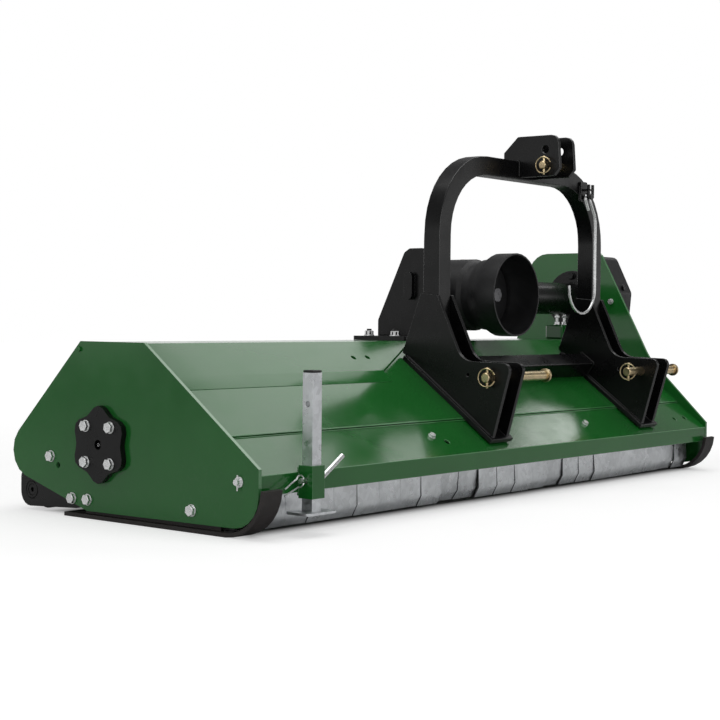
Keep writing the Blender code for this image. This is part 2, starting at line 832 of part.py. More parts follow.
def lock_bolt(side):
    """Make the bolt that runs through a roller bracket's slot and is held by the side plate."""
    place = (side * (HALF_WIDTH - 2 * GAP), LOCK_Y, LOCK_Z)
    return bolt(*M12_BOLT, PLATE_T + BRACKET_T + LOCK_BOLT_PROUD, place, (side, 0, 0))


def build_hood():
    """Fold the deck and its lapping front sheet, and hang the counter blade under it."""
    side = INNER_X - GAP
    deck_z = DECK_Z - FACE_SINK
    crest_y = DECK_FRONT_Y - (SLOPE_LIFT / math.cos(SLOPE) + FACE_SINK) / math.tan(SLOPE)
    upper = [
        (DECK_END_Y, deck_z),
        (crest_y, deck_z),
        slope_point(LAP_START + LAP_LENGTH, SLOPE_LIFT),
    ]
    keep(sheet("hood_upper_sheet", upper, -side, side, SHEET_T), GREEN)
    on_slope = SLOPE_LIFT + GAP
    raised = [
        slope_point(CREST_GAP, on_slope),
        slope_point(BAND_END, on_slope),
        slope_point(BAND_END, on_slope + BAND_EDGE),
        slope_point(BAND_START, -FACE_SINK),
        slope_point(CREST_GAP, -FACE_SINK),
    ]
    plate = slab("hood_stiffener", [raised], -side, STIFFENER_END_X)
    cut_y = slope_point(BAND_START, 0)[0]
    crest = DECK_FRONT_Y + CUT_ROOM
    past_x = STIFFENER_END_X + BAND_END
    past_y = cut_y - BAND_START
    away = [(STIFFENER_END_X, crest), (STIFFENER_CUT_X, cut_y), (STIFFENER_CUT_X, past_y),
            (past_x, past_y), (past_x, crest)]
    keep(combine(plate, [slab("away", [away], LIP_BOTTOM_Z, TALL_TOP_Z, "Z")], "DIFFERENCE"), GREEN)
    lower_lift = SLOPE_LIFT - SHEET_T - GAP
    lower = [
        slope_point(LAP_START, lower_lift),
        (LIP_SHEET_Y, slope_z(LIP_SHEET_Y, lower_lift)),
        (LIP_SHEET_Y, LIP_BOTTOM_Z),
    ]
    keep(sheet("hood_lower_sheet", lower, -side, side, SHEET_T), GREEN)
    blade = [
        slope_point(BLADE_RUN, lower_lift),
        slope_point(BLADE_RUN, lower_lift - BLADE_DROP),
        slope_point(BLADE_RUN + BLADE_T, lower_lift - BLADE_DROP),
        slope_point(BLADE_RUN + BLADE_T, lower_lift),
    ]
    keep(slab("counter_blade", [blade], -side, side), STEEL)


def build_skids():
    """Bend a skid under each side plate, with the web that bolts to the plate."""
    centre = (SKID_TOE_Y + SKID_TOE_RADIUS, SKID_TOE_RADIUS)
    rise = math.asin((SKID_TOE_Z - centre[1]) / SKID_TOE_RADIUS)
    toe = ring(centre, SKID_TOE_RADIUS, 8, -math.pi / 2, -math.pi - rise)
    sole = [(SKID_REAR_Y, 0.0)] + toe
    web_low = SKID_T / 2
    web = [
        (SKID_WEB_REAR_Y, web_low),
        (SKID_WEB_REAR_Y, SKID_WEB_Z, SKID_WEB_RADIUS),
        (SKID_WEB_FRONT_Y, SKID_WEB_Z, SKID_WEB_RADIUS),
        (SKID_WEB_FRONT_Y, web_low),
    ]
    for side, name in ((-1, "skid_left"), (1, "skid_right")):
        outer = side * (HALF_WIDTH + SKID_STEP)
        inner = outer - side * SKID_WIDTH
        strip = sheet(name, list(reversed(sole)), min(outer, inner), max(outer, inner), SKID_T)
        face = side * (INNER_X - GAP)
        back = face - side * SKID_WEB_T
        flange = slab("web", [fillet(web)], min(face, back), max(face, back))
        tools = [flange]
        shank = PLATE_T + SKID_WEB_T + SKID_BOLT_PROUD
        for y, z in PLATE_BOLTS:
            tools.append(bolt(*M12_BOLT, shank, (side * HALF_WIDTH, y, z), (side, 0, 0)))
        keep(combine(strip, tools, "UNION"), BROWN)


def build_bearings():
    """Turn the rotor's bearing housings and cut the lobed cover of the outer end."""
    square = bolt_square(COVER_BOLT_SPACING / 2)
    holes = [ring(place, M12_R + BOLT_CLEAR, 10) for place in square]
    body = ring((0, ROTOR_Z), HOUSING_R, 32)
    bore = ring((0, ROTOR_Z), SHAFT_R + RUN_CLEAR, 24)
    face = INNER_X - GAP
    left = slab("bearing_housing_left", [body, bore] + holes, -face, -face + HOUSING_T)
    keep(smooth(left), CAST)
    right = slab("bearing_housing_right", [body, bore], face - HOUSING_T, face)
    shank = PLATE_T + BOLT_PROUD
    heads = [bolt(*M12_BOLT, shank, (HALF_WIDTH, y, z), (1, 0, 0)) for y, z in square]
    keep(smooth(combine(right, heads, "UNION")), CAST)
    outline = []
    for index in range(COVER_POINTS):
        angle = math.tau * index / COVER_POINTS
        radius = COVER_MEAN_R + COVER_LOBE * math.cos(COVER_LOBES * (angle - math.pi / 2))
        outline.append((radius * math.cos(angle), ROTOR_Z + radius * math.sin(angle)))
    outer = -HALF_WIDTH - GAP
    cover = slab("bearing_cover", [outline], outer - COVER_T, outer)
    pocket = rod("pocket", NIPPLE_HOLE_R, -NIPPLE_HOLE_DEPTH, NIPPLE_HOLE_DEPTH, "X",
                 (outer - COVER_T, 0, ROTOR_Z))
    cover = combine(cover, [pocket], "DIFFERENCE")
    seat = outer - COVER_T + 2 * GAP
    pieces = []
    shank = COVER_T + PLATE_T + COVER_BOLT_REACH
    for y, z in square:
        pieces.append(bolt(*M12_BOLT, shank, (seat, y, z), (-1, 0, 0)))
    nipple = turned("nipple", [
        (0, NIPPLE_LENGTH),
        (NIPPLE_TIP_R, NIPPLE_LENGTH),
        (NIPPLE_BALL_R, NIPPLE_LENGTH * 5 / 6),
        (NIPPLE_TIP_R, NIPPLE_LENGTH * 2 / 3),
        (NIPPLE_R, NIPPLE_LENGTH * 5 / 9),
        (NIPPLE_R, -NIPPLE_LENGTH / 9),
        (0, -NIPPLE_LENGTH / 9)], "Z", (0, 0, 0), 10)
    turn = Matrix.Rotation(-math.pi / 2, 4, "Y")
    nipple.data.transform(Matrix.Translation((outer - BOSS_BITE, 0, ROTOR_Z)) @ turn)
    keep(smooth(combine(cover, pieces + [nipple], "UNION")), BLACK)


def build_flaps():
    """Hang the row of front flaps on its rod, in groups that swing on their own."""
    reach = HALF_WIDTH + ROD_END
    bar = rod("flap_rod", ROD_R, -reach, reach, "X", (0, ROD_Y, ROD_Z), 12)
    pieces = []
    for side in (-1, 1):
        seat = side * (HALF_WIDTH + GAP)
        low, high = sorted((seat, seat + side * ROD_WASHER_T))
        pieces.append(rod("washer", ROD_WASHER_R, low, high, "X", (0, ROD_Y, ROD_Z), 14))
        split = (side * (HALF_WIDTH + COTTER_X), ROD_Y, ROD_Z)
        pieces.append(rod("cotter", COTTER_R, -COTTER_LOW, COTTER_HIGH, "Z", split, 8))
    keep(smooth(combine(bar, pieces, "UNION")), ZINC)
    bore = ROD_R + EYE_PLAY
    face_y = ROD_Y - bore
    eye = ring((ROD_Y, ROD_Z), bore, 9, math.pi, -math.radians(95))
    path = [(face_y + FLAP_BEND_IN, FLAP_BOTTOM_Z), (face_y, FLAP_BEND_Z)] + eye
    span = 2 * (SKID_INNER_X - FLAP_END_GAP)
    pitch = span / FLAP_COUNT
    each = FLAP_COUNT // FLAP_GROUPS
    for group in range(FLAP_GROUPS):
        holder = pivot("flap_pivot_%d" % (group + 1), (0, ROD_Y, ROD_Z))
        start = -span / 2 + group * each * pitch
        end = start + each * pitch
        eye_low = sheet("flap_group_%d" % (group + 1), path, start + FLAP_GAP / 2,
                        end - FLAP_GAP / 2, FLAP_T)
        slits = []
        for index in range(1, each):
            middle = start + index * pitch
            slits.append(box("slit", (middle - FLAP_GAP / 2, ROD_Y - FLAP_BEND_Z, 0),
                             (middle + FLAP_GAP / 2, ROD_Y + FLAP_BEND_Z, ROD_Z - SLIT_TOP)))
        keep(smooth(combine(eye_low, slits, "DIFFERENCE")), ZINC, holder)


def hammer_tilt(angle):
    """Return how far a hammer leans off the vertical, where the tube would be in its way."""
    if math.sin(angle) < 0:
        return 0.0
    return HAMMER_TILT * (1 if math.cos(angle) > 0 else -1)


def build_rotor():
    """Turn the rotor, weld its lugs and hammer bolts on, and hang its four rows of hammers."""
    end = ROTOR_TUBE_END
    profile = [
        (0, SHAFT_END_X),
        (SHAFT_R, SHAFT_END_X),
        (SHAFT_R, end),
        (ROTOR_TUBE_R, end),
        (ROTOR_TUBE_R, -end),
        (SHAFT_R, -end),
        (SHAFT_R, -HALF_WIDTH + ROLLER_END_GAP),
        (0, -HALF_WIDTH + ROLLER_END_GAP),
    ]
    spindle = pivot("rotor_axis", (0, 0, ROTOR_Z))
    body = turned("rotor_tube", profile, "X", (0, 0, ROTOR_Z), 18)
    centre = Vector((0, 0, ROTOR_Z))
    tools = []
    lug_end = HAMMER_PIVOT_R + LUG_TIP
    lug = fillet([
        (-LUG_HALF, LUG_ROOT),
        (LUG_HALF, LUG_ROOT),
        (LUG_HALF, lug_end, LUG_TIP),
        (-LUG_HALF, lug_end, LUG_TIP)], 1)
    hammer = fillet([
        (-HAMMER_HALF, HAMMER_TOP, HAMMER_TOP_RADIUS),
        (-HAMMER_HALF, -HAMMER_SHOULDER),
        (-HAMMER_NECK_HALF, -HAMMER_WAIST),
        (-HAMMER_NECK_HALF, -HAMMER_HEEL),
        (-HAMMER_EDGE_HALF, -HAMMER_REACH),
        (HAMMER_EDGE_HALF, -HAMMER_REACH),
        (HAMMER_NECK_HALF, -HAMMER_HEEL),
        (HAMMER_NECK_HALF, -HAMMER_WAIST),
        (HAMMER_HALF, -HAMMER_SHOULDER),
        (HAMMER_HALF, HAMMER_TOP, HAMMER_TOP_RADIUS)], 1)
    eye = ring((0, HAMMER_PIVOT_R), HAMMER_BOLT_R + 4 * RUN_CLEAR, 6)
    for row in range(4):
        angle = math.pi / 4 + row * math.pi / 2
        spoke = Vector((0, math.cos(angle), math.sin(angle)))
        place = centre + spoke * HAMMER_PIVOT_R
        holder = pivot("hammer_pivot_%d" % (row + 1), place)
        holder.parent = spindle
        holder.matrix_parent_inverse = spindle.matrix_world.inverted()
        turn = Matrix.Rotation(angle - math.pi / 2, 4, "X")
        tilt = Matrix.Rotation(hammer_tilt(angle), 4, "X")
        hammers = []
        offset = (row - 1.5) * HAMMER_PITCH / 4
        half = HAMMER_WIDTH / 2
        for index in range(HAMMERS_PER_ROW):
            x = (index - (HAMMERS_PER_ROW - 1) / 2) * HAMMER_PITCH + offset
            blade = slab("hammer", [hammer], x - half, x + half)
            blade.data.transform(Matrix.Translation(place) @ tilt)
            hammers.append(blade)
            grip = half + LUG_PLAY
            for side in (-1, 1):
                low, high = sorted((x + side * grip, x + side * (grip + LUG_T)))
                ear = slab("lug", [lug, eye], low, high)
                ear.data.transform(Matrix.Translation(centre) @ turn)
                tools.append(ear)
        reach = (HAMMERS_PER_ROW - 1) / 2 * HAMMER_PITCH + half + BOLT_END
        name = "hammer_row_%d" % (row + 1)
        bar = rod(name, HAMMER_BOLT_R, offset - reach, offset + reach, "X", place, 10)
        keep(smooth(combine(bar, hammers, "UNION")), STEEL, holder)
    keep(smooth(combine(body, tools, "UNION")), BLACK, spindle)


def pulley(name, radius, bore, place):
    """Turn a grooved pulley on the X axis through a place."""
    high = PULLEY_START + BELTS * BELT_PITCH + 2 * PULLEY_RIM
    profile = [(radius, high)]
    for index in reversed(range(BELTS)):
        middle = belt_x(index)
        half = GROOVE_WIDTH / 2
        for corner in ((radius, middle + half), (radius - GROOVE_DEPTH, middle + half),
                       (radius - GROOVE_DEPTH, middle - half), (radius, middle - half)):
            profile.append(corner)
    profile += [(radius, PULLEY_START), (bore, PULLEY_START), (bore, high)]
    return turned(name, profile, "X", place, 24, closed=True)


def belt_x(index):
    """Return the middle of a belt across the pulleys."""
    return PULLEY_START + PULLEY_RIM + BELT_PITCH * (index + 0.5)


def belt_loop(top_r, low_r):
    """Return the outline round the two pulleys, for a loop of those radii."""
    lean = -math.asin((top_r - low_r) / (DRIVE_Z - ROTOR_Z))
    top_r /= math.cos((math.pi - 2 * lean) / 24)
    low_r /= math.cos((math.pi + 2 * lean) / 20)
    top = ring((0, DRIVE_Z), top_r, 13, lean, math.pi - lean)
    low = ring((0, ROTOR_Z), low_r, 11, math.pi - lean, math.tau + lean)
    return top + low


def build_belt_drive():
    """Make both pulleys, the belts round them and the cover over them."""
    drive = pivot("drive_axis", (LINK_X, 0, DRIVE_Z))
    spindle = bpy.data.objects["rotor_axis"]
    top = pulley("drive_pulley", DRIVE_PULLEY_R, DRIVE_SHAFT_R + GAP, (0, 0, DRIVE_Z))
    keep(smooth(top), CAST, drive)
    low = pulley("rotor_pulley", ROTOR_PULLEY_R, SHAFT_R + GAP, (0, 0, ROTOR_Z))
    keep(smooth(low), CAST, spindle)
    ribs = []
    floor = GROOVE_DEPTH - BELT_FLOOR_GAP
    band_outer = belt_loop(DRIVE_PULLEY_R + BELT_PROUD, ROTOR_PULLEY_R + BELT_PROUD)
    band_inner = belt_loop(DRIVE_PULLEY_R + GAP, ROTOR_PULLEY_R + GAP)
    band_low = belt_x(0) - BELT_WIDTH / 2
    band_high = belt_x(BELTS - 1) + BELT_WIDTH / 2
    band = slab("drive_belt", [band_outer, band_inner], band_low, band_high)
    for index in range(BELTS):
        outer = belt_loop(DRIVE_PULLEY_R + 2 * GAP, ROTOR_PULLEY_R + 2 * GAP)
        inner = belt_loop(DRIVE_PULLEY_R - floor, ROTOR_PULLEY_R - floor)
        middle = belt_x(index)
        half = BELT_WIDTH / 2
        if index == 0:
            edge = (band_low + BELT_EDGE, middle + half)
        elif index == BELTS - 1:
            edge = (middle - half, band_high - BELT_EDGE)
        else:
            edge = (middle - half, middle + half)
        ribs.append(slab("belt", [outer, inner], *edge))
    keep(smooth(combine(band, ribs, "UNION")), RUBBER)
    head_z = DRIVE_Z + BELT_COVER_RISE
    throat_z = DRIVE_Z - BELT_COVER_THROAT_DROP
    hip_z = ROTOR_Z - BELT_COVER_HIP_DROP
    foot_z = ROTOR_Z - BELT_COVER_FOOT_DROP
    corner, bend = BELT_COVER_RADIUS, BELT_COVER_BEND
    outline = fillet([
        (-BELT_COVER_CROWN_FRONT, head_z, corner),
        (-BELT_COVER_FRONT, DRIVE_Z + BELT_COVER_FRONT_RISE, corner),
        (-BELT_COVER_THROAT_FRONT, throat_z, bend),
        (-BELT_COVER_HIP, hip_z, bend),
        (-BELT_COVER_FOOT, foot_z, corner),
        (BELT_COVER_FOOT, foot_z, corner),
        (BELT_COVER_HIP, hip_z, bend),
        (BELT_COVER_THROAT_REAR, throat_z, bend),
        (BELT_COVER_REAR, DRIVE_Z + BELT_COVER_REAR_RISE, bend),
        (BELT_COVER_CROWN_REAR, head_z, corner)], 3)
    start = HALF_WIDTH + GAP
    end = start + BELT_COVER_DEPTH
    cover = slab("belt_cover", [outline], start, end)
    room = slab("room", [inset(outline, BELT_COVER_WALL)], start - PLATE_T, end - BELT_COVER_WALL)
    keep(smooth(combine(cover, [room], "DIFFERENCE")), PLASTIC)
    return drive


def build_gearbox(drive):
    """Cast the gearbox, with its oil spout and plug, and turn its shafts with their gears."""
    middle = (LINK_X, 0, DRIVE_Z)
    rear, front = GEARBOX_REAR_Y, GEARBOX_FRONT_Y
    shell = turned("gearbox_housing", [
        (0, rear),
        (GEARBOX_CAP_R, rear),
        (GEARBOX_STEP_R, rear - GEARBOX_STEP),
        (GEARBOX_R, rear - GEARBOX_SHOULDER),
        (GEARBOX_R, front + GEARBOX_NOSE_STEP),
        (GEARBOX_NOSE_R, front + GEARBOX_NOSE),
        (GEARBOX_NOSE_R, front),
        (0, front)], "Y", middle, 32)
    neck = turned("neck", [
        (0, GEARBOX_NECK_END),
        (NECK_FLANGE_R, GEARBOX_NECK_END),
        (NECK_FLANGE_R, GEARBOX_NECK_END - NECK_FLANGE_T),
        (NECK_R, GEARBOX_NECK_END - NECK_CHAMFER),
        (NECK_R, 0),
        (0, 0)], "X", middle, 28)
    stub_end = BRIDGE_X + BRIDGE_T + GAP - LINK_X
    cap = turned("cap", [
        (0, WELD_BITE),
        (GEARBOX_CAP_R, WELD_BITE),
        (GEARBOX_CAP_R, -GEARBOX_SIDE),
        (COLLAR_R, -GEARBOX_SIDE),
        (COLLAR_R, stub_end),
        (0, stub_end)], "X", middle, 28)
    spout_x = LINK_X + SPOUT_OFFSET
    spout = rod("spout", SPOUT_R, DRIVE_Z + SPOUT_FOOT, SPOUT_TOP_Z, "Z", (spout_x, 0, 0), 16)
    shell = combine(shell, [neck, cap, spout], "UNION")
    bore = DRIVE_SHAFT_R + RUN_CLEAR
    hollow = turned("hollow", [
        (0, GEAR_ROOM_REAR),
        (GEAR_ROOM_R, GEAR_ROOM_REAR),
        (GEAR_ROOM_R, -GEAR_ROOM_FRONT),
        (bore, -GEAR_ROOM_FRONT),
        (bore, front - SPOUT_R),
        (0, front - SPOUT_R)], "Y", middle, 24)
    side_hollow = turned("side_hollow", [
        (0, GEARBOX_NECK_END + SPOUT_R),
        (bore, GEARBOX_NECK_END + SPOUT_R),
        (bore, PINION_ROOM_END),
        (PINION_ROOM_R, PINION_ROOM_END),
        (PINION_ROOM_R, -WELD_BITE),
        (0, -WELD_BITE)], "X", middle, 24)
    keep(smooth(combine(shell, [hollow, side_hollow], "DIFFERENCE")), CAST)
    plug = bolt(PLUG_ACROSS, PLUG_HEAD, PLUG_FLANGE_R, PLUG_FLANGE_T, PLUG_NECK_R, -0.5 * WELD_BITE,
                (spout_x, 0, SPOUT_TOP_Z), (0, 0, 1))
    plug.name = "fill_plug"
    keep(smooth(plug), RED)

    gear_root = GEAR_R * TOOTH_ROOT
    input_axis = pivot("input_axis", middle)
    gear = turned("input_shaft", [
        (0, -PINION_R * TOOTH_ROOT - TOOTH_PLAY),
        (gear_root, -PINION_R * TOOTH_ROOT - TOOTH_PLAY),
        (GEAR_R, -PINION_R - TOOTH_PLAY),
        (GEAR_R - GEAR_CHAMFER, -GEAR_BACK),
        (DRIVE_SHAFT_R, -GEAR_HUB),
        (DRIVE_SHAFT_R, STUB_FRONT_Y),
        (0, STUB_FRONT_Y)], "Y", middle, 24)
    keep(smooth(gear), STEEL, input_axis)
    shaft_end = SHAFT_END_X - LINK_X
    pinion_x = GEAR_R + TOOTH_PLAY
    shaft = turned("output_shaft", [
        (0, shaft_end),
        (DRIVE_SHAFT_R, shaft_end),
        (DRIVE_SHAFT_R, pinion_x + PINION_LENGTH),
        (PINION_R - PINION_CHAMFER, pinion_x + PINION_LENGTH - TOOTH_PLAY),
        (PINION_R, pinion_x),
        (PINION_R * TOOTH_ROOT, gear_root + TOOTH_PLAY),
        (0, gear_root + TOOTH_PLAY)], "X", middle, 24)
    keep(smooth(shaft), STEEL, drive)


def build_shield():
    """Turn the cup that shields the PTO shaft's joint."""
    wall = SHIELD_WALL
    floor = GEARBOX_FRONT_Y - GAP
    shield = turned("pto_shield", [
        (SHIELD_ROOT_R, floor),
        (SHIELD_RING_R, floor - SHIELD_RING),
        (SHIELD_R, floor - SHIELD_FLARE),
        (SHIELD_R, SHIELD_FRONT_Y),
        (SHIELD_R - wall, SHIELD_FRONT_Y),
        (SHIELD_R - wall, floor - SHIELD_FLARE - WELD_BITE),
        (SHIELD_RING_R - wall, floor - SHIELD_RING - 2 * WELD_BITE),
        (SHIELD_ROOT_R - wall + WELD_BITE, floor - wall),
        (SHIELD_THROAT_R, floor - wall),
        (SHIELD_THROAT_R, floor)], "Y", (LINK_X, 0, DRIVE_Z), 32, closed=True)
    keep(smooth(shield, 30), PLASTIC)


def build_bridge():
    """Weld the bridge plate that holds the gearbox on the deck, with its bolts and nuts."""
    base_z = DECK_Z - FACE_SINK + GAP
    base_top = base_z + BRIDGE_BASE_T
    left, right, front, rear = BRIDGE_LEFT_X, BRIDGE_RIGHT_X, BRIDGE_FRONT_Y, BRIDGE_REAR_Y
    foot = fillet([
        (left, front, BRIDGE_CORNER),
        (right, front, BRIDGE_CORNER),
        (right, rear, BRIDGE_CORNER),
        (left, rear, BRIDGE_CORNER)], 3)
    base = slab("gearbox_bridge", [foot], base_z, base_top, "Z")
    knee = BRIDGE_KNEE_RADIUS
    profile = fillet([
        (rear, base_z + BRIDGE_SINK),
        (rear, BRIDGE_KNEE_Z, knee),
        (BRIDGE_SHOULDER_Y, BRIDGE_TOP_Z - BRIDGE_SHOULDER_DROP, BRIDGE_SHOULDER_RADIUS),
        (BRIDGE_CROWN_Y, BRIDGE_TOP_Z, knee),
        (BRIDGE_HEAD_FRONT_Y, BRIDGE_TOP_Z, BRIDGE_HEAD_RADIUS),
        (front, BRIDGE_KNEE_Z, knee),
        (front, base_z + BRIDGE_SINK)], 3)
    upright = slab("upright", [profile], BRIDGE_X, BRIDGE_X + BRIDGE_T)
    half = (BOSS_REAR_Y - BOSS_FRONT_Y) / 2
    pad = fillet([
        (BOSS_FRONT_Y, BOSS_LOW_Z, half),
        (BOSS_REAR_Y, BOSS_LOW_Z, half),
        (BOSS_REAR_Y, BOSS_HIGH_Z, half),
        (BOSS_FRONT_Y, BOSS_HIGH_Z, half)], 4)
    boss = slab("boss", [pad], BRIDGE_X - BOSS_T, BRIDGE_X + BOSS_BITE)
    tools = [upright, boss]
    for x in (BRIDGE_BOLT_LEFT_X, BRIDGE_BOLT_RIGHT_X):
        for y in (BRIDGE_BOLT_REAR_Y, BRIDGE_BOLT_FRONT_Y):
            tools.append(bolt(M12_HEAD_ACROSS, BRIDGE_BOLT_HEAD, M12_WASHER_R, M12_WASHER_T, M12_R,
                              BOSS_BITE, (x, y, base_top - 2 * GAP), (0, 0, 1), nut=True))
    keep(combine(base, tools, "UNION"), BLACK)


def build_torque_tube():
    """Turn the torque tube and set the tension block with its jack bolts under it."""
    start = LINK_X + GEARBOX_NECK_END + GAP
    end = INNER_X - GAP
    torque = turned("torque_tube", [
        (TORQUE_FLANGE_R, end),
        (TORQUE_FLANGE_R, end - TORQUE_FLANGE_T),
        (TORQUE_R, end - TORQUE_FLANGE_T),
        (TORQUE_R, start + TORQUE_FLANGE_T),
        (NECK_FLANGE_R, start + TORQUE_FLANGE_T),
        (NECK_FLANGE_R, start),
        (TORQUE_BORE_R, start),
        (TORQUE_BORE_R, end)], "X", (0, 0, DRIVE_Z), 32, closed=True)
    keep(smooth(torque), BLACK)
    base_z = DECK_Z - FACE_SINK + GAP
    half = BLOCK_LENGTH / 2
    block_top = base_z + BLOCK_HEIGHT
    block = box("tension_block", (BLOCK_X - half, -BLOCK_DEPTH / 2, base_z),
                (BLOCK_X + half, BLOCK_DEPTH / 2 - BLOCK_REAR_GAP, block_top))
    block = as_mesh(soften(block, BLOCK_EDGE))
    tip = DRIVE_Z - TORQUE_R - GAP
    tools = []
    for x in (BLOCK_X - JACK_SPACING / 2, BLOCK_X + JACK_SPACING / 2):
        tools.append(bolt(*M8_BOLT, BOSS_BITE, (x, 0, block_top - 2 * GAP), (0, 0, 1)))
        tools.append(rod("stem", M8_R, block_top, tip, "Z", (x, 0, 0), 10))
    keep(combine(block, tools, "UNION"), GREEN)


def beam_outline(extra):
    """Return the square of the cross beam on the slope, grown by a clearance."""
    size = TUBE / 2 + extra
    corners = ((-1, -1), (1, -1), (1, 1), (-1, 1))
    up = SLOPE_LIFT + GAP + TUBE / 2
    return [slope_point(BEAM_RUN + a * size, up + b * size) for a, b in corners]


def build_linkage():
    """Bend the arch and set its hitch plates, base strips, cross beam and top plates."""
    half = TUBE / 2
    seat_lift = SLOPE_LIFT + STRIP_T + GAP
    leg_z = slope_z(ARCH_REAR_Y, seat_lift) + GAP
    outer_l, inner_l = LEFT_LEG_X - half, LEFT_LEG_X + half
    inner_r, outer_r = RIGHT_LEG_X - half, RIGHT_LEG_X + half
    inside = ARCH_CORNER_R - TUBE
    arch = fillet([(outer_l, leg_z), (inner_l, leg_z), (inner_l, ARCH_TOP_Z - TUBE, inside),
                   (inner_r, ARCH_TOP_Z - TUBE, inside), (inner_r, leg_z), (outer_r, leg_z),
                   (outer_r, ARCH_TOP_Z, ARCH_CORNER_R), (outer_l, ARCH_TOP_Z, ARCH_CORNER_R)], 10)
    frame = slab("arch", [arch], ARCH_FRONT_Y, ARCH_REAR_Y, "Y")
    keep(smooth(soften(frame, TUBE_EDGE, 2), 30), BLACK)

    lower_front = STRIP_FRONT_Y + HITCH_END_GAP
    lower_rear = STRIP_REAR_Y + HITCH_REAR_GAP
    sunk = seat_lift - HITCH_SINK
    cheek = fillet([
        (lower_front, slope_z(lower_front, sunk)),
        (lower_rear, slope_z(lower_rear, sunk)),
        (ARCH_REAR_Y - BOLT_CLEAR, HITCH_APEX_Z, HITCH_APEX_RADIUS),
        (ARCH_FRONT_Y - HITCH_SINK, HITCH_APEX_Z - HITCH_APEX_RADIUS, HITCH_APEX_RADIUS),
        (HITCH_KNEE_Y, HITCH_TOP_Z + HITCH_SINK, HITCH_KNEE_RADIUS),
        (HITCH_FRONT_Y, HITCH_TOP_Z - WELD_BITE, HITCH_FRONT_RADIUS)], 4)
    pin_hole = ring((LOWER_PIN_Y, LOWER_PIN_Z), LOWER_PIN_R + BOLT_CLEAR, 16)
    small_hole = ring((HITCH_HOLE_Y, HITCH_HOLE_Z), HITCH_HOLE_R, 8)
    rear_run = (DECK_FRONT_Y - STRIP_REAR_Y) / math.cos(SLOPE)
    front_run = (DECK_FRONT_Y - STRIP_FRONT_Y) / math.cos(SLOPE)
    low = SLOPE_LIFT + GAP
    strip = [slope_point(rear_run, low), slope_point(rear_run, low + STRIP_T),
             slope_point(front_run, low + STRIP_T), slope_point(front_run, low)]
    reach = half + GAP + HITCH_T
    ends = (LEFT_LEG_X + reach, RIGHT_LEG_X - reach)
    for name, leg in (("hitch_plates_left", LEFT_LEG_X), ("hitch_plates_right", RIGHT_LEG_X)):
        width = half + HITCH_T + STRIP_PROUD
        base = slab(name, [strip], leg - width, leg + width)
        room = slab("room", [beam_outline(GAP)], ends[0] + BELT_EDGE, ends[1] - BELT_EDGE)
        base = combine(base, [room], "DIFFERENCE")
        cheeks = []
        for side in (-1, 1):
            near = leg + side * (half + GAP)
            edge = sorted((near, near + side * HITCH_T))
            cheeks.append(slab("cheek", [cheek, pin_hole, small_hole], *edge))
        keep(smooth(combine(base, cheeks, "UNION")), BLACK)
    bar = slab("cross_beam", [beam_outline(0)], ends[0] + GAP, ends[1] - GAP)
    keep(soften(bar, TUBE_EDGE, 2), BLACK)

    notch_y = ARCH_FRONT_Y - GAP
    notch_z = ARCH_TOP_Z + GAP
    crest_z = ARCH_TOP_Z + TOP_PLATE_RISE
    foot_z = ARCH_TOP_Z - TOP_PLATE_DROP
    ear = fillet([
        (ARCH_REAR_Y, notch_z),
        (ARCH_REAR_Y, ARCH_TOP_Z + TOP_PLATE_BACK_RISE, TOP_PLATE_BACK_RADIUS),
        (TOP_PLATE_CREST_Y, crest_z, TOP_PLATE_RADIUS),
        (TOP_PLATE_FRONT_Y + TOP_PLATE_RADIUS, crest_z - CREST_GAP, TOP_PLATE_NOSE_RADIUS),
        (TOP_PLATE_FRONT_Y, ARCH_TOP_Z - TOP_PLATE_NOSE_DROP, TOP_PLATE_RADIUS),
        (TOP_PLATE_CHIN_Y, foot_z, TOP_PLATE_RADIUS),
        (notch_y, foot_z),
        (notch_y, notch_z)], 3)
    holes = [ring((TOP_PIN_Y, TOP_PIN_Z), TOP_PIN_R + BOLT_CLEAR, 16),
             ring((TOP_HOLE_Y, ARCH_TOP_Z + TOP_HOLE_RISE), TOP_PIN_R + BOLT_CLEAR, 16)]
    for side, name in ((-1, "top_plate_left"), (1, "top_plate_right")):
        near = LINK_X + side * TOP_GAP / 2
        edge = sorted((near, near + side * TOP_T))
        keep(smooth(slab(name, [ear] + holes, *edge)), BLACK)


def hitch_pin(name, start, length, radius, y, z, ring_r):
    """Turn a hitch pin with a collar at its +X end and a linch pin near its -X end."""
    axis = pivot(name + "_axis", (start, y, z))
    end = start + length
    body = turned(name, [
        (0, end),
        (radius + PIN_COLLAR, end),
        (radius + PIN_COLLAR, end - PIN_COLLAR),
        (radius, end - PIN_COLLAR - WELD_BITE),
        (radius, start + PIN_CHAMFER),
        (radius - PIN_CHAMFER, start),
        (0, start)], "X", (0, y, z), 20)
    cross = start + LINCH_INSET
    reach = ring_r + LINCH_END
    stem = rod("stem", LINCH_R, -reach, reach, "Z", (cross, y, z), 10)
    loops = []
    for index in range(LINCH_POINTS):
        share = index / (LINCH_POINTS - 1)
        angle = math.radians(-70) + math.radians(320) * share
        loops.append((cross - LINCH_LEAN * math.sin(math.pi * share),
                      y + ring_r * math.sin(angle), z + ring_r * math.cos(angle)))
    spring = wire("spring", loops, LINCH_WIRE_R, 1)
    return keep(smooth(combine(body, [stem, spring], "UNION")), YELLOW_ZINC, axis)


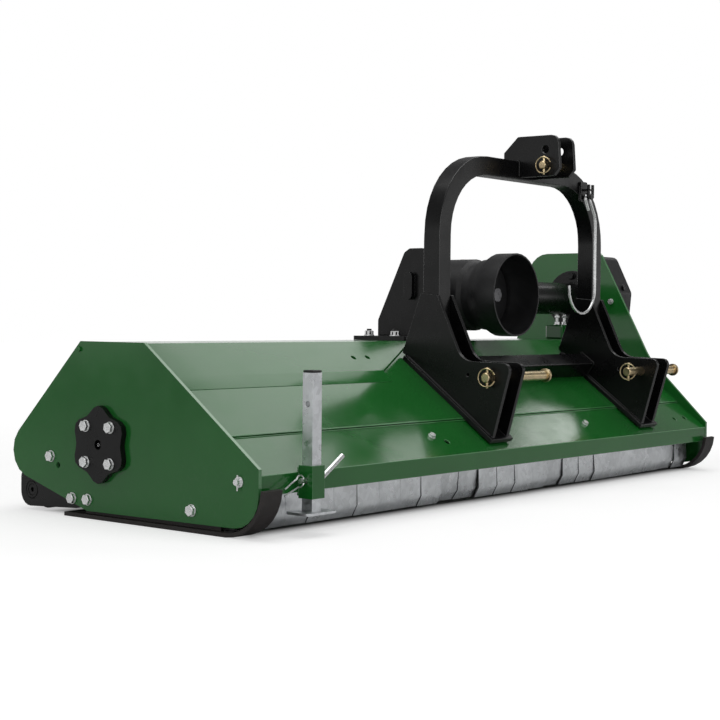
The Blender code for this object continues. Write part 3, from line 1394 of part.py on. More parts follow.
def build_pins():
    """Turn the three hitch pins with their linch pins."""
    for name, start in (("lower_pin_left", LEFT_PIN_START), ("lower_pin_right", RIGHT_PIN_START)):
        hitch_pin(name, start, LOWER_PIN_LENGTH, LOWER_PIN_R, LOWER_PIN_Y, LOWER_PIN_Z, LOWER_LINCH_R)
    span = TOP_GAP / 2 + TOP_T
    hitch_pin("top_link_pin", LINK_X - span - TOP_PIN_HEAD, 2 * span + TOP_PIN_HEAD + TOP_PIN_TAIL,
              TOP_PIN_R, TOP_PIN_Y, TOP_PIN_Z, TOP_LINCH_R)


def build_hook():
    """Bend the PTO shaft hook and weld its peg plate to the arch."""
    back = ARCH_FRONT_Y - GAP
    front = back - HOOK_PLATE_T
    left, right = HOOK_PEG_X - HOOK_PLATE_HALF, HOOK_PEG_X + HOOK_PLATE_HALF
    low, high = HOOK_PEG_Z - HOOK_PLATE_LOW, HOOK_PEG_Z + HOOK_PLATE_HIGH
    plate = slab("hook_bracket", [fillet([
        (left, low, HOOK_PLATE_LOW_RADIUS),
        (right, low, HOOK_PLATE_LOW_RADIUS),
        (right, high, HOOK_PLATE_HIGH_RADIUS),
        (left, high, HOOK_PLATE_HIGH_RADIUS)], 3)], front, back, "Y")
    peg_end = HOOK_Y - HOOK_PEG_REACH
    peg = turned("peg", [
        (0, back - BOSS_BITE),
        (HOOK_PEG_R, back - BOSS_BITE),
        (HOOK_PEG_R, peg_end),
        (HOOK_KNOB_R, peg_end),
        (HOOK_KNOB_R, peg_end - HOOK_KNOB_T),
        (0, peg_end - HOOK_KNOB_T)], "Y", (HOOK_PEG_X, 0, HOOK_PEG_Z), 14)
    keep(smooth(combine(plate, [peg], "UNION")), BLACK)
    eye_z = HOOK_PEG_Z + HOOK_PEG_R + HOOK_WIRE_R + GAP - HOOK_EYE_R
    eye = ring((HOOK_PEG_X, eye_z), HOOK_EYE_R, 10, math.radians(200), math.radians(-25))
    bow_x, bow_z = HOOK_PEG_X + HOOK_BOW_X, HOOK_PEG_Z - HOOK_BOW_DROP
    bow = ring((bow_x, bow_z), HOOK_BOW_R, 12, 0.0, -math.pi)
    path = [(HOOK_PEG_X + HOOK_END_X, eye_z - HOOK_END_DROP)] + eye + [
        (HOOK_PEG_X + HOOK_NECK_X, eye_z - HOOK_NECK_DROP),
        (HOOK_PEG_X + HOOK_BEND_X, eye_z - HOOK_BEND_DROP),
        (HOOK_PEG_X + HOOK_SHANK_X, eye_z - HOOK_SHANK_DROP)] + bow + [
        (bow_x - HOOK_BOW_R - BOLT_CLEAR, bow_z + HOOK_TIP_RISE)]
    axis = pivot("hook_axis", (HOOK_PEG_X, HOOK_Y, HOOK_PEG_Z))
    points = [(x, HOOK_Y, z) for x, z in path]
    keep(smooth(wire("pto_hook", points, HOOK_WIRE_R, 2)), ZINC, axis)


def build_stand():
    """Fit the parking stand in its sleeve, with the lock pin through both."""
    half = STAND_TUBE / 2
    outer = half + STAND_CLEAR + SLEEVE_WALL
    centre = (STAND_X, LIP_SHEET_Y - GAP - outer)

    def square(size):
        """Return a square round the stand's axis."""
        x, y = centre
        return [(x - size, y - size), (x + size, y - size), (x + size, y + size), (x - size, y + size)]

    pin_hole = LOCK_PIN_R + BOLT_CLEAR
    through = (centre[0], centre[1], LOCK_PIN_Z)
    sleeve = slab("stand_sleeve", [square(outer), square(half + STAND_CLEAR)],
                  SLEEVE_BOTTOM_Z, SLEEVE_TOP_Z, "Z")
    past = 2 * outer
    drill = rod("drill", pin_hole, -past, past, "X", through, 12)
    keep(combine(sleeve, [drill], "DIFFERENCE"), GREEN)
    foot_top = STAND_FOOT_Z + STAND_FOOT_T
    post = slab("stand_tube", [square(half), square(half - STAND_WALL)],
                foot_top - WELD_BITE, STAND_TOP_Z, "Z")
    corners = []
    for a, b in ((-1, -1), (1, -1), (1, 1), (-1, 1)):
        corners.append((centre[0] + a * STAND_FOOT_HALF_X, centre[1] + b * STAND_FOOT_HALF_Y,
                        STAND_FOOT_RADIUS))
    foot = slab("foot", [fillet(corners, 3)], STAND_FOOT_Z, foot_top, "Z")
    post = combine(post, [foot], "UNION")
    upper = (centre[0], centre[1], STAND_HOLE_Z)
    drills = [rod("drill", pin_hole, -past, past, "X", place, 12) for place in (through, upper)]
    keep(combine(post, drills, "DIFFERENCE"), ZINC)
    cap_z = STAND_TOP_Z + GAP
    cap = box("stand_cap", (centre[0] - half, centre[1] - half, cap_z),
              (centre[0] + half, centre[1] + half, cap_z + STAND_CAP_T))
    keep(soften(cap, STAND_CAP_EDGE), PLASTIC)

    axis = pivot("lock_pin_axis", through)
    y = centre[1]
    left = centre[0] - outer - LOCK_PIN_HEAD
    right = centre[0] + outer + LOCK_PIN_TAIL
    handle = [
        (left, y, LOCK_PIN_Z),
        (right, y, LOCK_PIN_Z),
        (right + LOCK_PIN_BEND_X, y, LOCK_PIN_Z + LOCK_PIN_BEND_Z),
        (right + LOCK_PIN_ELBOW_X, y, LOCK_PIN_Z + LOCK_PIN_ELBOW_Z),
        (right + LOCK_PIN_GRIP_X, y, LOCK_PIN_Z + LOCK_PIN_GRIP_Z)]
    pin = wire("stand_lock_pin", handle, LOCK_PIN_R, 2)
    middle_x = left + WELD_BITE
    loop = ring((middle_x, LOCK_PIN_Z), CLIP_R, 18, math.radians(160), math.radians(-110))
    clip = [(middle_x - CLIP_REACH, y, LOCK_PIN_Z - CLIP_UPPER_DROP),
            (middle_x - CLIP_WAIST, y, LOCK_PIN_Z - CLIP_WAIST_DROP)]
    clip += [(x, y, z) for x, z in loop]
    clip.append((middle_x - CLIP_REACH - WELD_BITE, y, LOCK_PIN_Z - CLIP_LOWER_DROP))
    spring = wire("clip", clip, CLIP_WIRE_R, 1)
    keep(smooth(combine(pin, [spring], "UNION")), ZINC, axis)


def build_roller():
    """Make the roller brackets, which swing on a bolt, and the roller between them."""
    axis = pivot("bracket_axis", (0, PIVOT_Y, PIVOT_Z))
    roll = pivot("roller_axis", (0, ROLLER_Y, ROLLER_Z))
    roll.parent = axis
    roll.matrix_parent_inverse = axis.matrix_world.inverted()
    end_y = PIVOT_Y - PIVOT_END_R
    rear_y = ROLLER_Y + BRACKET_REAR
    outline = fillet([
        (end_y, PIVOT_Z - PIVOT_END_R, BRACKET_END_RADIUS),
        (rear_y, BRACKET_REAR_LOW_Z, BRACKET_BACK_RADIUS),
        (rear_y, BRACKET_REAR_TOP_Z, BRACKET_REAR_RADIUS),
        (BRACKET_BACK_Y, BRACKET_BACK_Z, BRACKET_BACK_RADIUS),
        (BRACKET_TOP_REAR_Y, BRACKET_TOP_Z, BRACKET_TOP_RADIUS),
        (BRACKET_TOP_FRONT_Y, BRACKET_TOP_Z, BRACKET_TOP_RADIUS),
        (end_y, PIVOT_Z + PIVOT_END_R, BRACKET_END_RADIUS)], 5)
    shaft_hole = ring((ROLLER_Y, ROLLER_Z), ROLLER_SHAFT_R + RUN_CLEAR, 20)
    radius = math.hypot(LOCK_Y - PIVOT_Y, LOCK_Z - PIVOT_Z)
    at = math.atan2(LOCK_Z - PIVOT_Z, LOCK_Y - PIVOT_Y)
    wide = M12_R + SLOT_PLAY
    centre = (PIVOT_Y, PIVOT_Z)
    slot = ring(centre, radius + wide, 8, at - LOCK_SWEEP, at + LOCK_SWEEP)
    slot += ring(centre, radius - wide, 8, at + LOCK_SWEEP, at - LOCK_SWEEP)
    boss_outer = ring((ROLLER_Y, ROLLER_Z), BRACKET_BOSS_R, 24)
    for side, name in ((-1, "roller_bracket_left"), (1, "roller_bracket_right")):
        face = side * (INNER_X - BRACKET_SIDE_GAP)
        back = face - side * BRACKET_T
        plate = slab(name, [outline, shaft_hole, slot], *sorted((face, back)))
        boss_end = back - side * BRACKET_BOSS_T
        boss = slab("boss", [boss_outer, shaft_hole], *sorted((back + side * WELD_BITE, boss_end)))
        place = (side * HALF_WIDTH, PIVOT_Y, PIVOT_Z)
        pin = bolt(*M12_BOLT, PLATE_T + BRACKET_T, place, (side, 0, 0))
        keep(smooth(combine(plate, [boss, pin], "UNION")), BLACK, axis)
    tip = INNER_X - ROLLER_END_GAP
    profile = [
        (0, tip), (ROLLER_SHAFT_R, tip), (ROLLER_SHAFT_R, ROLLER_END_X), (ROLLER_R, ROLLER_END_X),
        (ROLLER_R, -ROLLER_END_X), (ROLLER_SHAFT_R, -ROLLER_END_X), (ROLLER_SHAFT_R, -tip), (0, -tip)]
    drum = turned("rear_roller", profile, "X", (0, ROLLER_Y, ROLLER_Z), 32)
    keep(smooth(drum), BLACK, roll)


def build_door():
    """Hang the rear door on its hinge rod, between the side plates."""
    reach = HALF_WIDTH + DOOR_ROD_END
    pin = rod("door_hinge_rod", DOOR_ROD_R, -reach, reach, "X", (0, DOOR_ROD_Y, DOOR_ROD_Z), 12)
    keep(smooth(pin), ZINC)
    fall = math.atan2(DECK_Z - TAIL_Z, TAIL_Y - DECK_REAR_Y)
    along = Vector((math.cos(fall), -math.sin(fall)))
    out = Vector((math.sin(fall), math.cos(fall)))
    hinge = Vector((DOOR_ROD_Y, DOOR_ROD_Z))
    top = hinge + out * DOOR_OFFSET
    low = hinge + along * DOOR_RUN + out * DOOR_OFFSET
    hem = low + Vector((DOOR_HEM_RUN, -DOOR_DROP))
    side = INNER_X - DOOR_SIDE_GAP
    panel = sheet("rear_door", [tuple(hem), tuple(low), tuple(top)], -side, side, DOOR_T)
    knuckle = tube("knuckle", KNUCKLE_R, DOOR_ROD_R + RUN_CLEAR, -side, side, "X",
                   (0, DOOR_ROD_Y, DOOR_ROD_Z), 20)
    axis = pivot("door_axis", (0, DOOR_ROD_Y, DOOR_ROD_Z))
    keep(smooth(combine(panel, [knuckle], "UNION")), GREEN, axis)


build_side_plates()
build_hood()
build_skids()
build_bearings()
build_flaps()
build_rotor()
build_gearbox(build_belt_drive())
build_shield()
build_bridge()
build_torque_tube()
build_linkage()
build_pins()
build_hook()
build_stand()
build_roller()
build_door()


def centre_assembly():
    """Stand the machine on the origin, under the middle of its box."""
    bpy.context.view_layer.update()
    corners = []
    tops = []
    for obj in parts.objects:
        if obj.parent is None:
            tops.append(obj)
        if obj.type == "MESH":
            corners += [obj.matrix_world @ Vector(corner) for corner in obj.bound_box]
    lowest = [min(corner[axis] for corner in corners) for axis in range(3)]
    highest = [max(corner[axis] for corner in corners) for axis in range(3)]
    assembly = pivot("assembly", (0, 0, 0))
    for obj in tops:
        obj.parent = assembly
    middle_x = (lowest[0] + highest[0]) / 2
    middle_y = (lowest[1] + highest[1]) / 2
    assembly.location = (-middle_x, -middle_y, -lowest[2])


centre_assembly()
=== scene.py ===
"""Dresses the flail mulcher: its finishes, fine pieces, studio and camera."""
import json
import logging
import math
import random
from dataclasses import dataclass, field
from enum import Enum
from typing import Callable, Iterable, Sequence

import bmesh
import bpy
from bpy.types import Material, Node, NodeSocket, NodeTree, Object
from mathutils import Matrix, Vector
from mathutils.bvhtree import BVHTree

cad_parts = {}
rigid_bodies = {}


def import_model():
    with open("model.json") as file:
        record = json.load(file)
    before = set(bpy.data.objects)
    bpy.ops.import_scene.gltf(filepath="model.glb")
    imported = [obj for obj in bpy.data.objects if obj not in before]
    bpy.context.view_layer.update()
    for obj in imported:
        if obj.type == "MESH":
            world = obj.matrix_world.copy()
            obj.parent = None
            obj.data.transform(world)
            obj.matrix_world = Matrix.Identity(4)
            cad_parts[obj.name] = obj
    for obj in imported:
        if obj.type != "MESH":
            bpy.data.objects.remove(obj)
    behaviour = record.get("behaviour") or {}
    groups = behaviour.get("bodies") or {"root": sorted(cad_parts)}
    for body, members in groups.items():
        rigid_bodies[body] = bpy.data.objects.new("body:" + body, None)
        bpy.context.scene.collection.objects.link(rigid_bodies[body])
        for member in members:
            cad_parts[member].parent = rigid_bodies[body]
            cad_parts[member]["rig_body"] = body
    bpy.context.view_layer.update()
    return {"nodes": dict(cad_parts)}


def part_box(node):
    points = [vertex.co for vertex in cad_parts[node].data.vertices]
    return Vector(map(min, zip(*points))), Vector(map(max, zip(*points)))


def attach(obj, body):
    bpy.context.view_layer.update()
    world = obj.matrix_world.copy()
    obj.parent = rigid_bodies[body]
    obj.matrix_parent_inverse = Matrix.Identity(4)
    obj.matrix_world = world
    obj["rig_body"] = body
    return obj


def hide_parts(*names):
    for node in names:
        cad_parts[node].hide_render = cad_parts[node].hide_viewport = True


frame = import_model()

LOG = logging.getLogger("mulcher")
Pair = tuple[float, float]
Triple = tuple[float, float, float]
Places = tuple[Pair, ...]
AXLE_Y, AXLE_Z = 0.228, 0.042


def machine_origin() -> Vector:
    """Return where the rotor's middle stands on the ground, found from the roller's box."""
    low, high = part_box("rear_roller")
    return Vector(((low.x + high.x) / 2, (low.y + high.y) / 2 - AXLE_Y, 0.0))


ORIGIN = machine_origin()
# The hood's crest, the fall of its front slope, and the outer faces of the side plates.
CREST_Y, CREST_Z = -0.117, 0.354
SLOPE = math.atan2(0.224, 0.3045)
HALF_WIDTH = 0.900
# Bolts of the side plates, as places along the machine and heights.
SKID_BOLTS = ((0.043, 0.037), (-0.251, 0.041))
LOCK_BOLT = (0.157, 0.117)
PIVOT_BOLT = (0.090, 0.036)
# How far a cut stands off the face that it must not touch.
CLEAR = 0.0004
# Faces that meet at less than this many degrees are shaded as one.
SOFT_ANGLE = 48.0


def at(x: float, y: float, z: float) -> Vector:
    """Return a point of the machine's own axes in the row frame."""
    return Vector((x, y, z)) + ORIGIN


def on_slope(x: float, y: float, lift: float) -> Vector:
    """Return a point above the hood's front slope, lifted square to it."""
    return at(x, y, CREST_Z - (CREST_Y - y) * math.tan(SLOPE) + lift / math.cos(SLOPE))


class Way(Enum):
    """The directions that a fastener's head, a bar or a cut points in."""

    LEFT = (-1.0, 0.0, 0.0)
    RIGHT = (1.0, 0.0, 0.0)
    FRONT = (0.0, -1.0, 0.0)
    BACK = (0.0, 1.0, 0.0)
    UP = (0.0, 0.0, 1.0)
    DOWN = (0.0, 0.0, -1.0)
    SLOPE = (0.0, -math.sin(SLOPE), math.cos(SLOPE))


SIDES = ((-1, Way.LEFT, "left"), (1, Way.RIGHT, "right"))


# Modelling helpers


def deselect() -> None:
    """Leave edit mode and select nothing."""
    if bpy.context.object and bpy.context.object.mode != "OBJECT":
        leave_edit()
    bpy.ops.object.select_all(action="DESELECT")


def pick(obj: Object) -> None:
    """Make one object the only selected and the active one.

    Args:
        obj: the object.
    """
    deselect()
    obj.select_set(True)
    bpy.context.view_layer.objects.active = obj


def edit(obj: Object, kind: str = "FACE", everything: bool = False) -> None:
    """Enter edit mode on one object.

    Args:
        obj: the object.
        kind: what is selected from then on, VERT, EDGE or FACE.
        everything: whether all of it is selected at first, or else nothing.
    """
    pick(obj)
    bpy.ops.object.mode_set(mode="EDIT")
    bpy.ops.mesh.select_mode(type=kind)
    bpy.ops.mesh.select_all(action="SELECT" if everything else "DESELECT")


def leave_edit() -> None:
    """Go back to object mode."""
    bpy.ops.object.mode_set(mode="OBJECT")


def choose_faces(obj: Object, test: Callable[[Vector, Vector], bool]) -> None:
    """Select the faces that pass a test.

    Args:
        obj: the object in edit mode.
        test: says of a face's centre and normal whether it is taken.
    """
    for face in bmesh.from_edit_mesh(obj.data).faces:
        if test(face.calc_center_median(), face.normal):
            face.select_set(True)
    bmesh.update_edit_mesh(obj.data)


def choose_edges(obj: Object, test: Callable[[Vector, Vector], bool]) -> None:
    """Select the edges that pass a test.

    Args:
        obj: the object in edit mode.
        test: says of an edge's two ends whether it is taken.
    """
    for edge in bmesh.from_edit_mesh(obj.data).edges:
        if test(edge.verts[0].co, edge.verts[1].co):
            edge.select_set(True)
    bmesh.update_edit_mesh(obj.data)


def settle(obj: Object) -> None:
    """Put an object's place into its mesh, so that the object sits at the origin."""
    pick(obj)
    bpy.ops.object.transform_apply(location=True, rotation=True, scale=True)


def apply_all(obj: Object) -> None:
    """Apply every modifier of an object in order.

    Args:
        obj: the object.
    """
    pick(obj)
    for modifier in list(obj.modifiers):
        bpy.ops.object.modifier_apply(modifier=modifier.name)


def round_edges(obj: Object, width: float, segments: int = 2, angle: float = 35.0,
                slot: int = -1) -> None:
    """Round an object's sharp edges and shade it smooth.

    Args:
        obj: the object.
        width: how far its edges are rounded.
        segments: how many faces the rounding has.
        angle: the angle above which an edge counts as sharp.
        slot: the material slot that the rounding takes, or -1 for that of its faces.
    """
    bevel = obj.modifiers.new("round", "BEVEL")
    bevel.width = width
    bevel.segments = segments
    bevel.limit_method = "ANGLE"
    bevel.angle_limit = math.radians(angle)
    bevel.use_clamp_overlap = True
    bevel.material = slot
    apply_all(obj)
    pick(obj)
    bpy.ops.object.shade_smooth_by_angle(angle=math.radians(max(angle, SOFT_ANGLE)))
    shading = obj.modifiers.new("flat_faces", "WEIGHTED_NORMAL")
    shading.keep_sharp = True
    apply_all(obj)


def outward(obj: Object) -> None:
    """Merge an object's doubles and turn its faces outwards.

    Args:
        obj: the object.
    """
    edit(obj, everything=True)
    bpy.ops.mesh.remove_doubles(threshold=0.00001)
    bpy.ops.mesh.normals_make_consistent(inside=False)
    leave_edit()


def copy_of(obj: Object, name: str) -> Object:
    """Copy an object with a mesh of its own.

    Args:
        obj: the object.
        name: the copy's name, and its mesh's.

    Returns:
        The copy.
    """
    made = bpy.data.objects.new(name, obj.data.copy())
    made.data.name = name
    bpy.context.scene.collection.objects.link(made)
    return made


def join(objects: Sequence[Object], name: str) -> Object:
    """Join objects into one.

    Args:
        objects: the objects, of which the first takes in the others.
        name: the joined object's name.

    Returns:
        The joined object.
    """
    deselect()
    for obj in objects:
        obj.select_set(True)
    bpy.context.view_layer.objects.active = objects[0]
    if len(objects) > 1:
        bpy.ops.object.join()
    made = bpy.context.view_layer.objects.active
    made.name = name
    made.data.name = name
    return made


def aim(obj: Object, place: Vector, way: Vector, spin: float = 0.0) -> None:
    """Turn a piece that was made along +Z to a direction, and put it in place."""
    turn = Vector((0, 0, 1)).rotation_difference(way.normalized()).to_matrix().to_4x4()
    obj.data.transform(Matrix.Translation(place) @ turn @ Matrix.Rotation(spin, 4, "Z"))


def cut(obj: Object, tools: Sequence[Object]) -> None:
    """Take the tools' shapes out of an object, and remove the tools.

    Args:
        obj: the object.
        tools: the cutters.
    """
    for tool in tools:
        change = obj.modifiers.new("cut", "BOOLEAN")
        change.operation = "DIFFERENCE"
        change.solver = "EXACT"
        change.object = tool
    apply_all(obj)
    for tool in tools:
        bpy.data.objects.remove(tool, do_unlink=True)


def trim(obj: Object, place: Vector, way: Way) -> None:
    """Take off all that stands past a plane, and close the cut.

    Args:
        obj: the object.
        place: a point of the plane.
        way: the direction in which everything goes.
    """
    edit(obj, everything=True)
    bpy.ops.mesh.bisect(plane_co=place, plane_no=way.value, use_fill=True, clear_outer=True,
                        threshold=0.000002)
    leave_edit()


def bar(name: str, radius: float, length: float, place: Vector, way: Way,
        vertices: int = 24) -> Object:
    """Make a round bar.

    Args:
        name: its name.
        radius: its radius.
        length: its length.
        place: the middle of the end that it starts at.
        way: the direction in which it runs.
        vertices: how many sides it has.

    Returns:
        The bar.
    """
    made = column(vertices, radius, length, 0.0)
    made.name = name
    aim(made, place, Vector(way.value))
    return made


def column(sides: int, radius: float, height: float, foot: float) -> Object:
    """Make a bar that stands on the Z axis.

    Args:
        sides: how many sides it has.
        radius: its radius at the corners.
        height: its height.
        foot: the height that it starts at.

    Returns:
        The bar.
    """
    deselect()
    bpy.ops.mesh.primitive_cylinder_add(vertices=sides, radius=radius, depth=height,
                                        location=(0, 0, foot + height / 2))
    made = bpy.context.object
    settle(made)
    return made


def drill(radius: float, reach: float, place: Vector, way: Way) -> Object:
    """Make a cutter that passes both ways through a place."""
    back = place - Vector(way.value) * reach
    return bar("drill", radius, 2 * reach, back, way, 20)


def block(name: str, size: Triple, place: Vector,
          edge: float = 0.0008) -> Object:
    """Make a block with rounded edges.

    Args:
        name: its name.
        size: its three sizes.
        place: its middle.
        edge: how far its edges are rounded, or 0 for sharp ones.

    Returns:
        The block.
    """
    deselect()
    bpy.ops.mesh.primitive_cube_add(size=1.0, location=place)
    made = bpy.context.object
    made.name = name
    made.scale = size
    settle(made)
    if edge > 0:
        round_edges(made, edge)
    return made


def wire(name: str, points: Sequence[Vector], radius: float) -> Object:
    """Bend a round wire through points.

    Args:
        name: its name.
        points: the places that it goes through.
        radius: its radius.

    Returns:
        The wire, with closed ends.
    """
    data = bpy.data.curves.new(name, "CURVE")
    data.dimensions = "3D"
    data.bevel_depth = radius
    data.bevel_resolution = 3
    data.use_fill_caps = True
    spline = data.splines.new("POLY")
    spline.points.add(len(points) - 1)
    for point, place in zip(spline.points, points):
        point.co = (*place, 1.0)
    made = bpy.data.objects.new(name, data)
    bpy.context.scene.collection.objects.link(made)
    pick(made)
    bpy.ops.object.convert(target="MESH")
    made = bpy.context.object
    outward(made)
    pick(made)
    bpy.ops.object.shade_smooth_by_angle(angle=math.radians(40))
    return made


def round_places(centre: Vector, radius: float, count: int, side: Way,
                 closed: bool = False) -> list[Vector]:
    """Spread places evenly on an upright circle.

    Args:
        centre: its centre.
        radius: its radius.
        count: how many parts it is cut into.
        side: the level direction that it lies in.
        closed: whether they start level and come back there, or else half a part up.

    Returns:
        The places.
    """
    places = []
    for index in range(count + closed):
        angle = math.tau * (index if closed else index + 0.5) / count
        level, up = radius * math.cos(angle), radius * math.sin(angle)
        places.append(centre + level * Vector(side.value) + up * Vector(Way.UP.value))
    return places


# Materials


class Tree:
    """A node tree that is filled by short calls."""

    def __init__(self, tree: NodeTree) -> None:
        """Take the tree to fill."""
        self.tree = tree

    def add(self, kind: str, **values: object) -> Node:
        """Add a node.

        Args:
            kind: its type.
            values: its properties in small letters, and its inputs as feed takes them.

        Returns:
            The node.
        """
        node = self.tree.nodes.new(kind)
        for key, value in values.items():
            if key.islower():
                setattr(node, key, value)
        self.feed(node, **{key: value for key, value in values.items() if not key.islower()})
        return node

    def put(self, source: object, socket: NodeSocket) -> None:
        """Set or link one input.

        Args:
            source: a socket to link from, or a value to set.
            socket: the input.
        """
        if isinstance(source, NodeSocket):
            self.tree.links.new(source, socket)
        else:
            socket.default_value = source

    def feed(self, node: Node, **sources: object) -> None:
        """Set or link a node's inputs.

        Args:
            node: the node.
            sources: its inputs by name, with an underscore for a blank, or by _ and number.
        """
        for key, source in sources.items():
            name = key.replace("_", " ")
            self.put(source, node.inputs[name if name in node.inputs else int(key[1:])])

    def noise(self, vector: NodeSocket, scale: object, detail: float,
              rough: float = 0.5) -> NodeSocket:
        """Add a noise texture with some finer layers, and say how strong those are."""
        return self.add("ShaderNodeTexNoise", Vector=vector, Scale=scale, Detail=detail,
                        Roughness=rough).outputs[0]

    def span(self, value: NodeSocket, low: float, high: float, to_low: object = 0.0,
             to_high: object = 1.0) -> NodeSocket:
        """Add a clamped map of a value from one range to another."""
        return self.add("ShaderNodeMapRange", Value=value, From_Min=low, From_Max=high,
                        To_Min=to_low, To_Max=to_high).outputs["Result"]

    def mix(self, factor: object, first: object, second: object) -> NodeSocket:
        """Add a mix of two colours, where the factor is the share of the second."""
        return self.add("ShaderNodeMix", data_type="RGBA", _0=factor, _6=first,
                        _7=second).outputs[2]

    def maths(self, operation: str, first: object, second: object = 0.0) -> NodeSocket:
        """Add a sum, product or the like of two numbers."""
        return self.add("ShaderNodeMath", operation=operation, _0=first, _1=second).outputs[0]


def group_of(name: str, inputs: Sequence[tuple[str, float]],
             outputs: Sequence[str]) -> tuple[NodeTree, Tree, Node, Node]:
    """Make a shader node group with its sockets, of which the first takes coordinates.

    Args:
        name: the group's name.
        inputs: name and default of each number that it takes.
        outputs: name of each number that it gives.

    Returns:
        The group, a tree helper on it, its input node and its output node.
    """
    made = bpy.data.node_groups.new(name, "ShaderNodeTree")
    made.interface.new_socket("Vector", in_out="INPUT", socket_type="NodeSocketVector")
    for label, default in inputs:
        socket = made.interface.new_socket(label, in_out="INPUT", socket_type="NodeSocketFloat")
        socket.default_value = default
    for label in outputs:
        made.interface.new_socket(label, in_out="OUTPUT", socket_type="NodeSocketFloat")
    tree = Tree(made)
    return made, tree, tree.add("NodeGroupInput"), tree.add("NodeGroupOutput")


def orange_peel_group() -> NodeTree:
    """Build the fine waviness and haze of sprayed paint.

    Returns:
        The node group.
    """
    made, tree, into, out = group_of(
        "orange_peel", [("Wave Size", 220.0), ("Haze", 0.1), ("Gloss", 0.2)],
        ["Height", "Roughness", "Shade"])
    vector = into.outputs["Vector"]
    peel = tree.noise(vector, into.outputs["Wave Size"], 2.0)
    slow = tree.noise(vector, 3.5, 3.0, 0.6)
    smear = tree.noise(vector, 14.0, 4.0, 0.65)
    haze = tree.maths("MULTIPLY", tree.span(smear, 0.42, 0.72), into.outputs["Haze"])
    tree.feed(out, Height=peel, Roughness=tree.maths("ADD", haze, into.outputs["Gloss"]),
              Shade=tree.span(slow, 0.3, 0.7))
    return made


def handling_group() -> NodeTree:
    """Build the mask of fine dust and rubbed spots that handling leaves.

    Returns:
        The node group.
    """
    made, tree, into, out = group_of(
        "handling_marks", [("Amount", 0.2), ("Size", 60.0)], ["Mask", "Height"])
    vector = into.outputs["Vector"]
    spots = tree.noise(vector, into.outputs["Size"], 6.0, 0.7)
    patches = tree.noise(vector, 5.0, 3.0, 0.55)
    mask = tree.maths("MULTIPLY", tree.span(spots, 0.52, 0.74), tree.span(patches, 0.45, 0.7))
    tree.feed(out, Mask=tree.maths("MULTIPLY", mask, into.outputs["Amount"]), Height=spots)
    return made


# The middle of the roughness that the crystals give.
SPANGLE_GLOSS = 0.34


def spangle_group() -> NodeTree:
    """Build the crystal pattern of hot-dip zinc, with its streaks.

    Returns:
        The node group.
    """
    made, tree, into, out = group_of(
        "zinc_spangle", [("Crystals", 90.0)], ["Tone", "Roughness", "Height"])
    vector = into.outputs["Vector"]
    drift = tree.add("ShaderNodeTexNoise", Vector=vector, Scale=40.0, Detail=2.0)
    shift = tree.add("ShaderNodeVectorMath", operation="SCALE", _0=drift.outputs["Color"],
                     Scale=0.012)
    warp = tree.add("ShaderNodeVectorMath", operation="ADD", _0=vector, _1=shift.outputs[0])
    cells = tree.add("ShaderNodeTexVoronoi", Vector=warp.outputs[0],
                     Scale=into.outputs["Crystals"])
    grey = tree.add("ShaderNodeSeparateColor", _0=cells.outputs["Color"])
    streak = tree.noise(vector, 22.0, 5.0, 0.6)
    tone = tree.maths("ADD", tree.maths("MULTIPLY", grey.outputs[0], 0.45),
                      tree.maths("MULTIPLY", tree.span(streak, 0.3, 0.7), 0.55))
    rough = tree.span(grey.outputs[1], 0.0, 1.0, SPANGLE_GLOSS - 0.08, SPANGLE_GLOSS + 0.08)
    tree.feed(out, Tone=tone, Roughness=rough, Height=tree.maths("ADD", grey.outputs[2], streak))
    return made


def grain_group() -> NodeTree:
    """Build the pitted grain of castings and moulded plastic.

    Returns:
        The node group.
    """
    made, tree, into, out = group_of("cast_grain", [("Size", 500.0)], ["Height", "Shade"])
    vector = into.outputs["Vector"]
    fine = tree.noise(vector, into.outputs["Size"], 3.0, 0.6)
    broad = tree.noise(vector, 45.0, 4.0, 0.6)
    height = tree.maths("ADD", fine, tree.maths("MULTIPLY", broad, 0.8))
    tree.feed(out, Height=height, Shade=tree.span(broad, 0.35, 0.7))
    return made


GROUPS = {
    "peel": orange_peel_group(),
    "marks": handling_group(),
    "spangle": spangle_group(),
    "grain": grain_group(),
}


@dataclass(frozen=True)
class Finish:
    """What every finish shares: its name, colour and gloss."""

    name: str
    color: Triple
    roughness: float = 0.4
    metallic: float = 0.0

    def start(self) -> tuple[Material, Tree, Node, NodeSocket]:
        """Make the material with its shader and coordinates.

        Returns:
            The material, its tree, its shader node and the object coordinates.
        """
        made = bpy.data.materials.new(self.name)
        made.use_nodes = True
        made.diffuse_color = (*self.color, 1.0)
        tree = Tree(made.node_tree)
        shader = made.node_tree.nodes["Principled BSDF"]
        tree.feed(shader, Base_Color=(*self.color, 1.0), Roughness=self.roughness,
                  Metallic=self.metallic)
        return made, tree, shader, tree.add("ShaderNodeTexCoord").outputs["Object"]

    def group(self, tree: Tree, kind: str, **sources: object) -> dict[str, NodeSocket]:
        """Add one of the shared node groups, and return its outputs by name."""
        node = tree.add("ShaderNodeGroup", node_tree=GROUPS[kind], **sources)
        return {socket.name: socket for socket in node.outputs}

    def shade(self, factor: float) -> tuple[float, float, float, float]:
        """Return the colour made lighter or darker."""
        return (*(min(1.0, part * factor) for part in self.color), 1.0)

    def bump(self, tree: Tree, shader: Node, height: NodeSocket,
             strength: float, distance: float) -> None:
        """Feed a height of some strength and depth to the shader's normal."""
        node = tree.add("ShaderNodeBump", Height=height, Strength=strength, Distance=distance)
        tree.feed(shader, Normal=node.outputs[0])


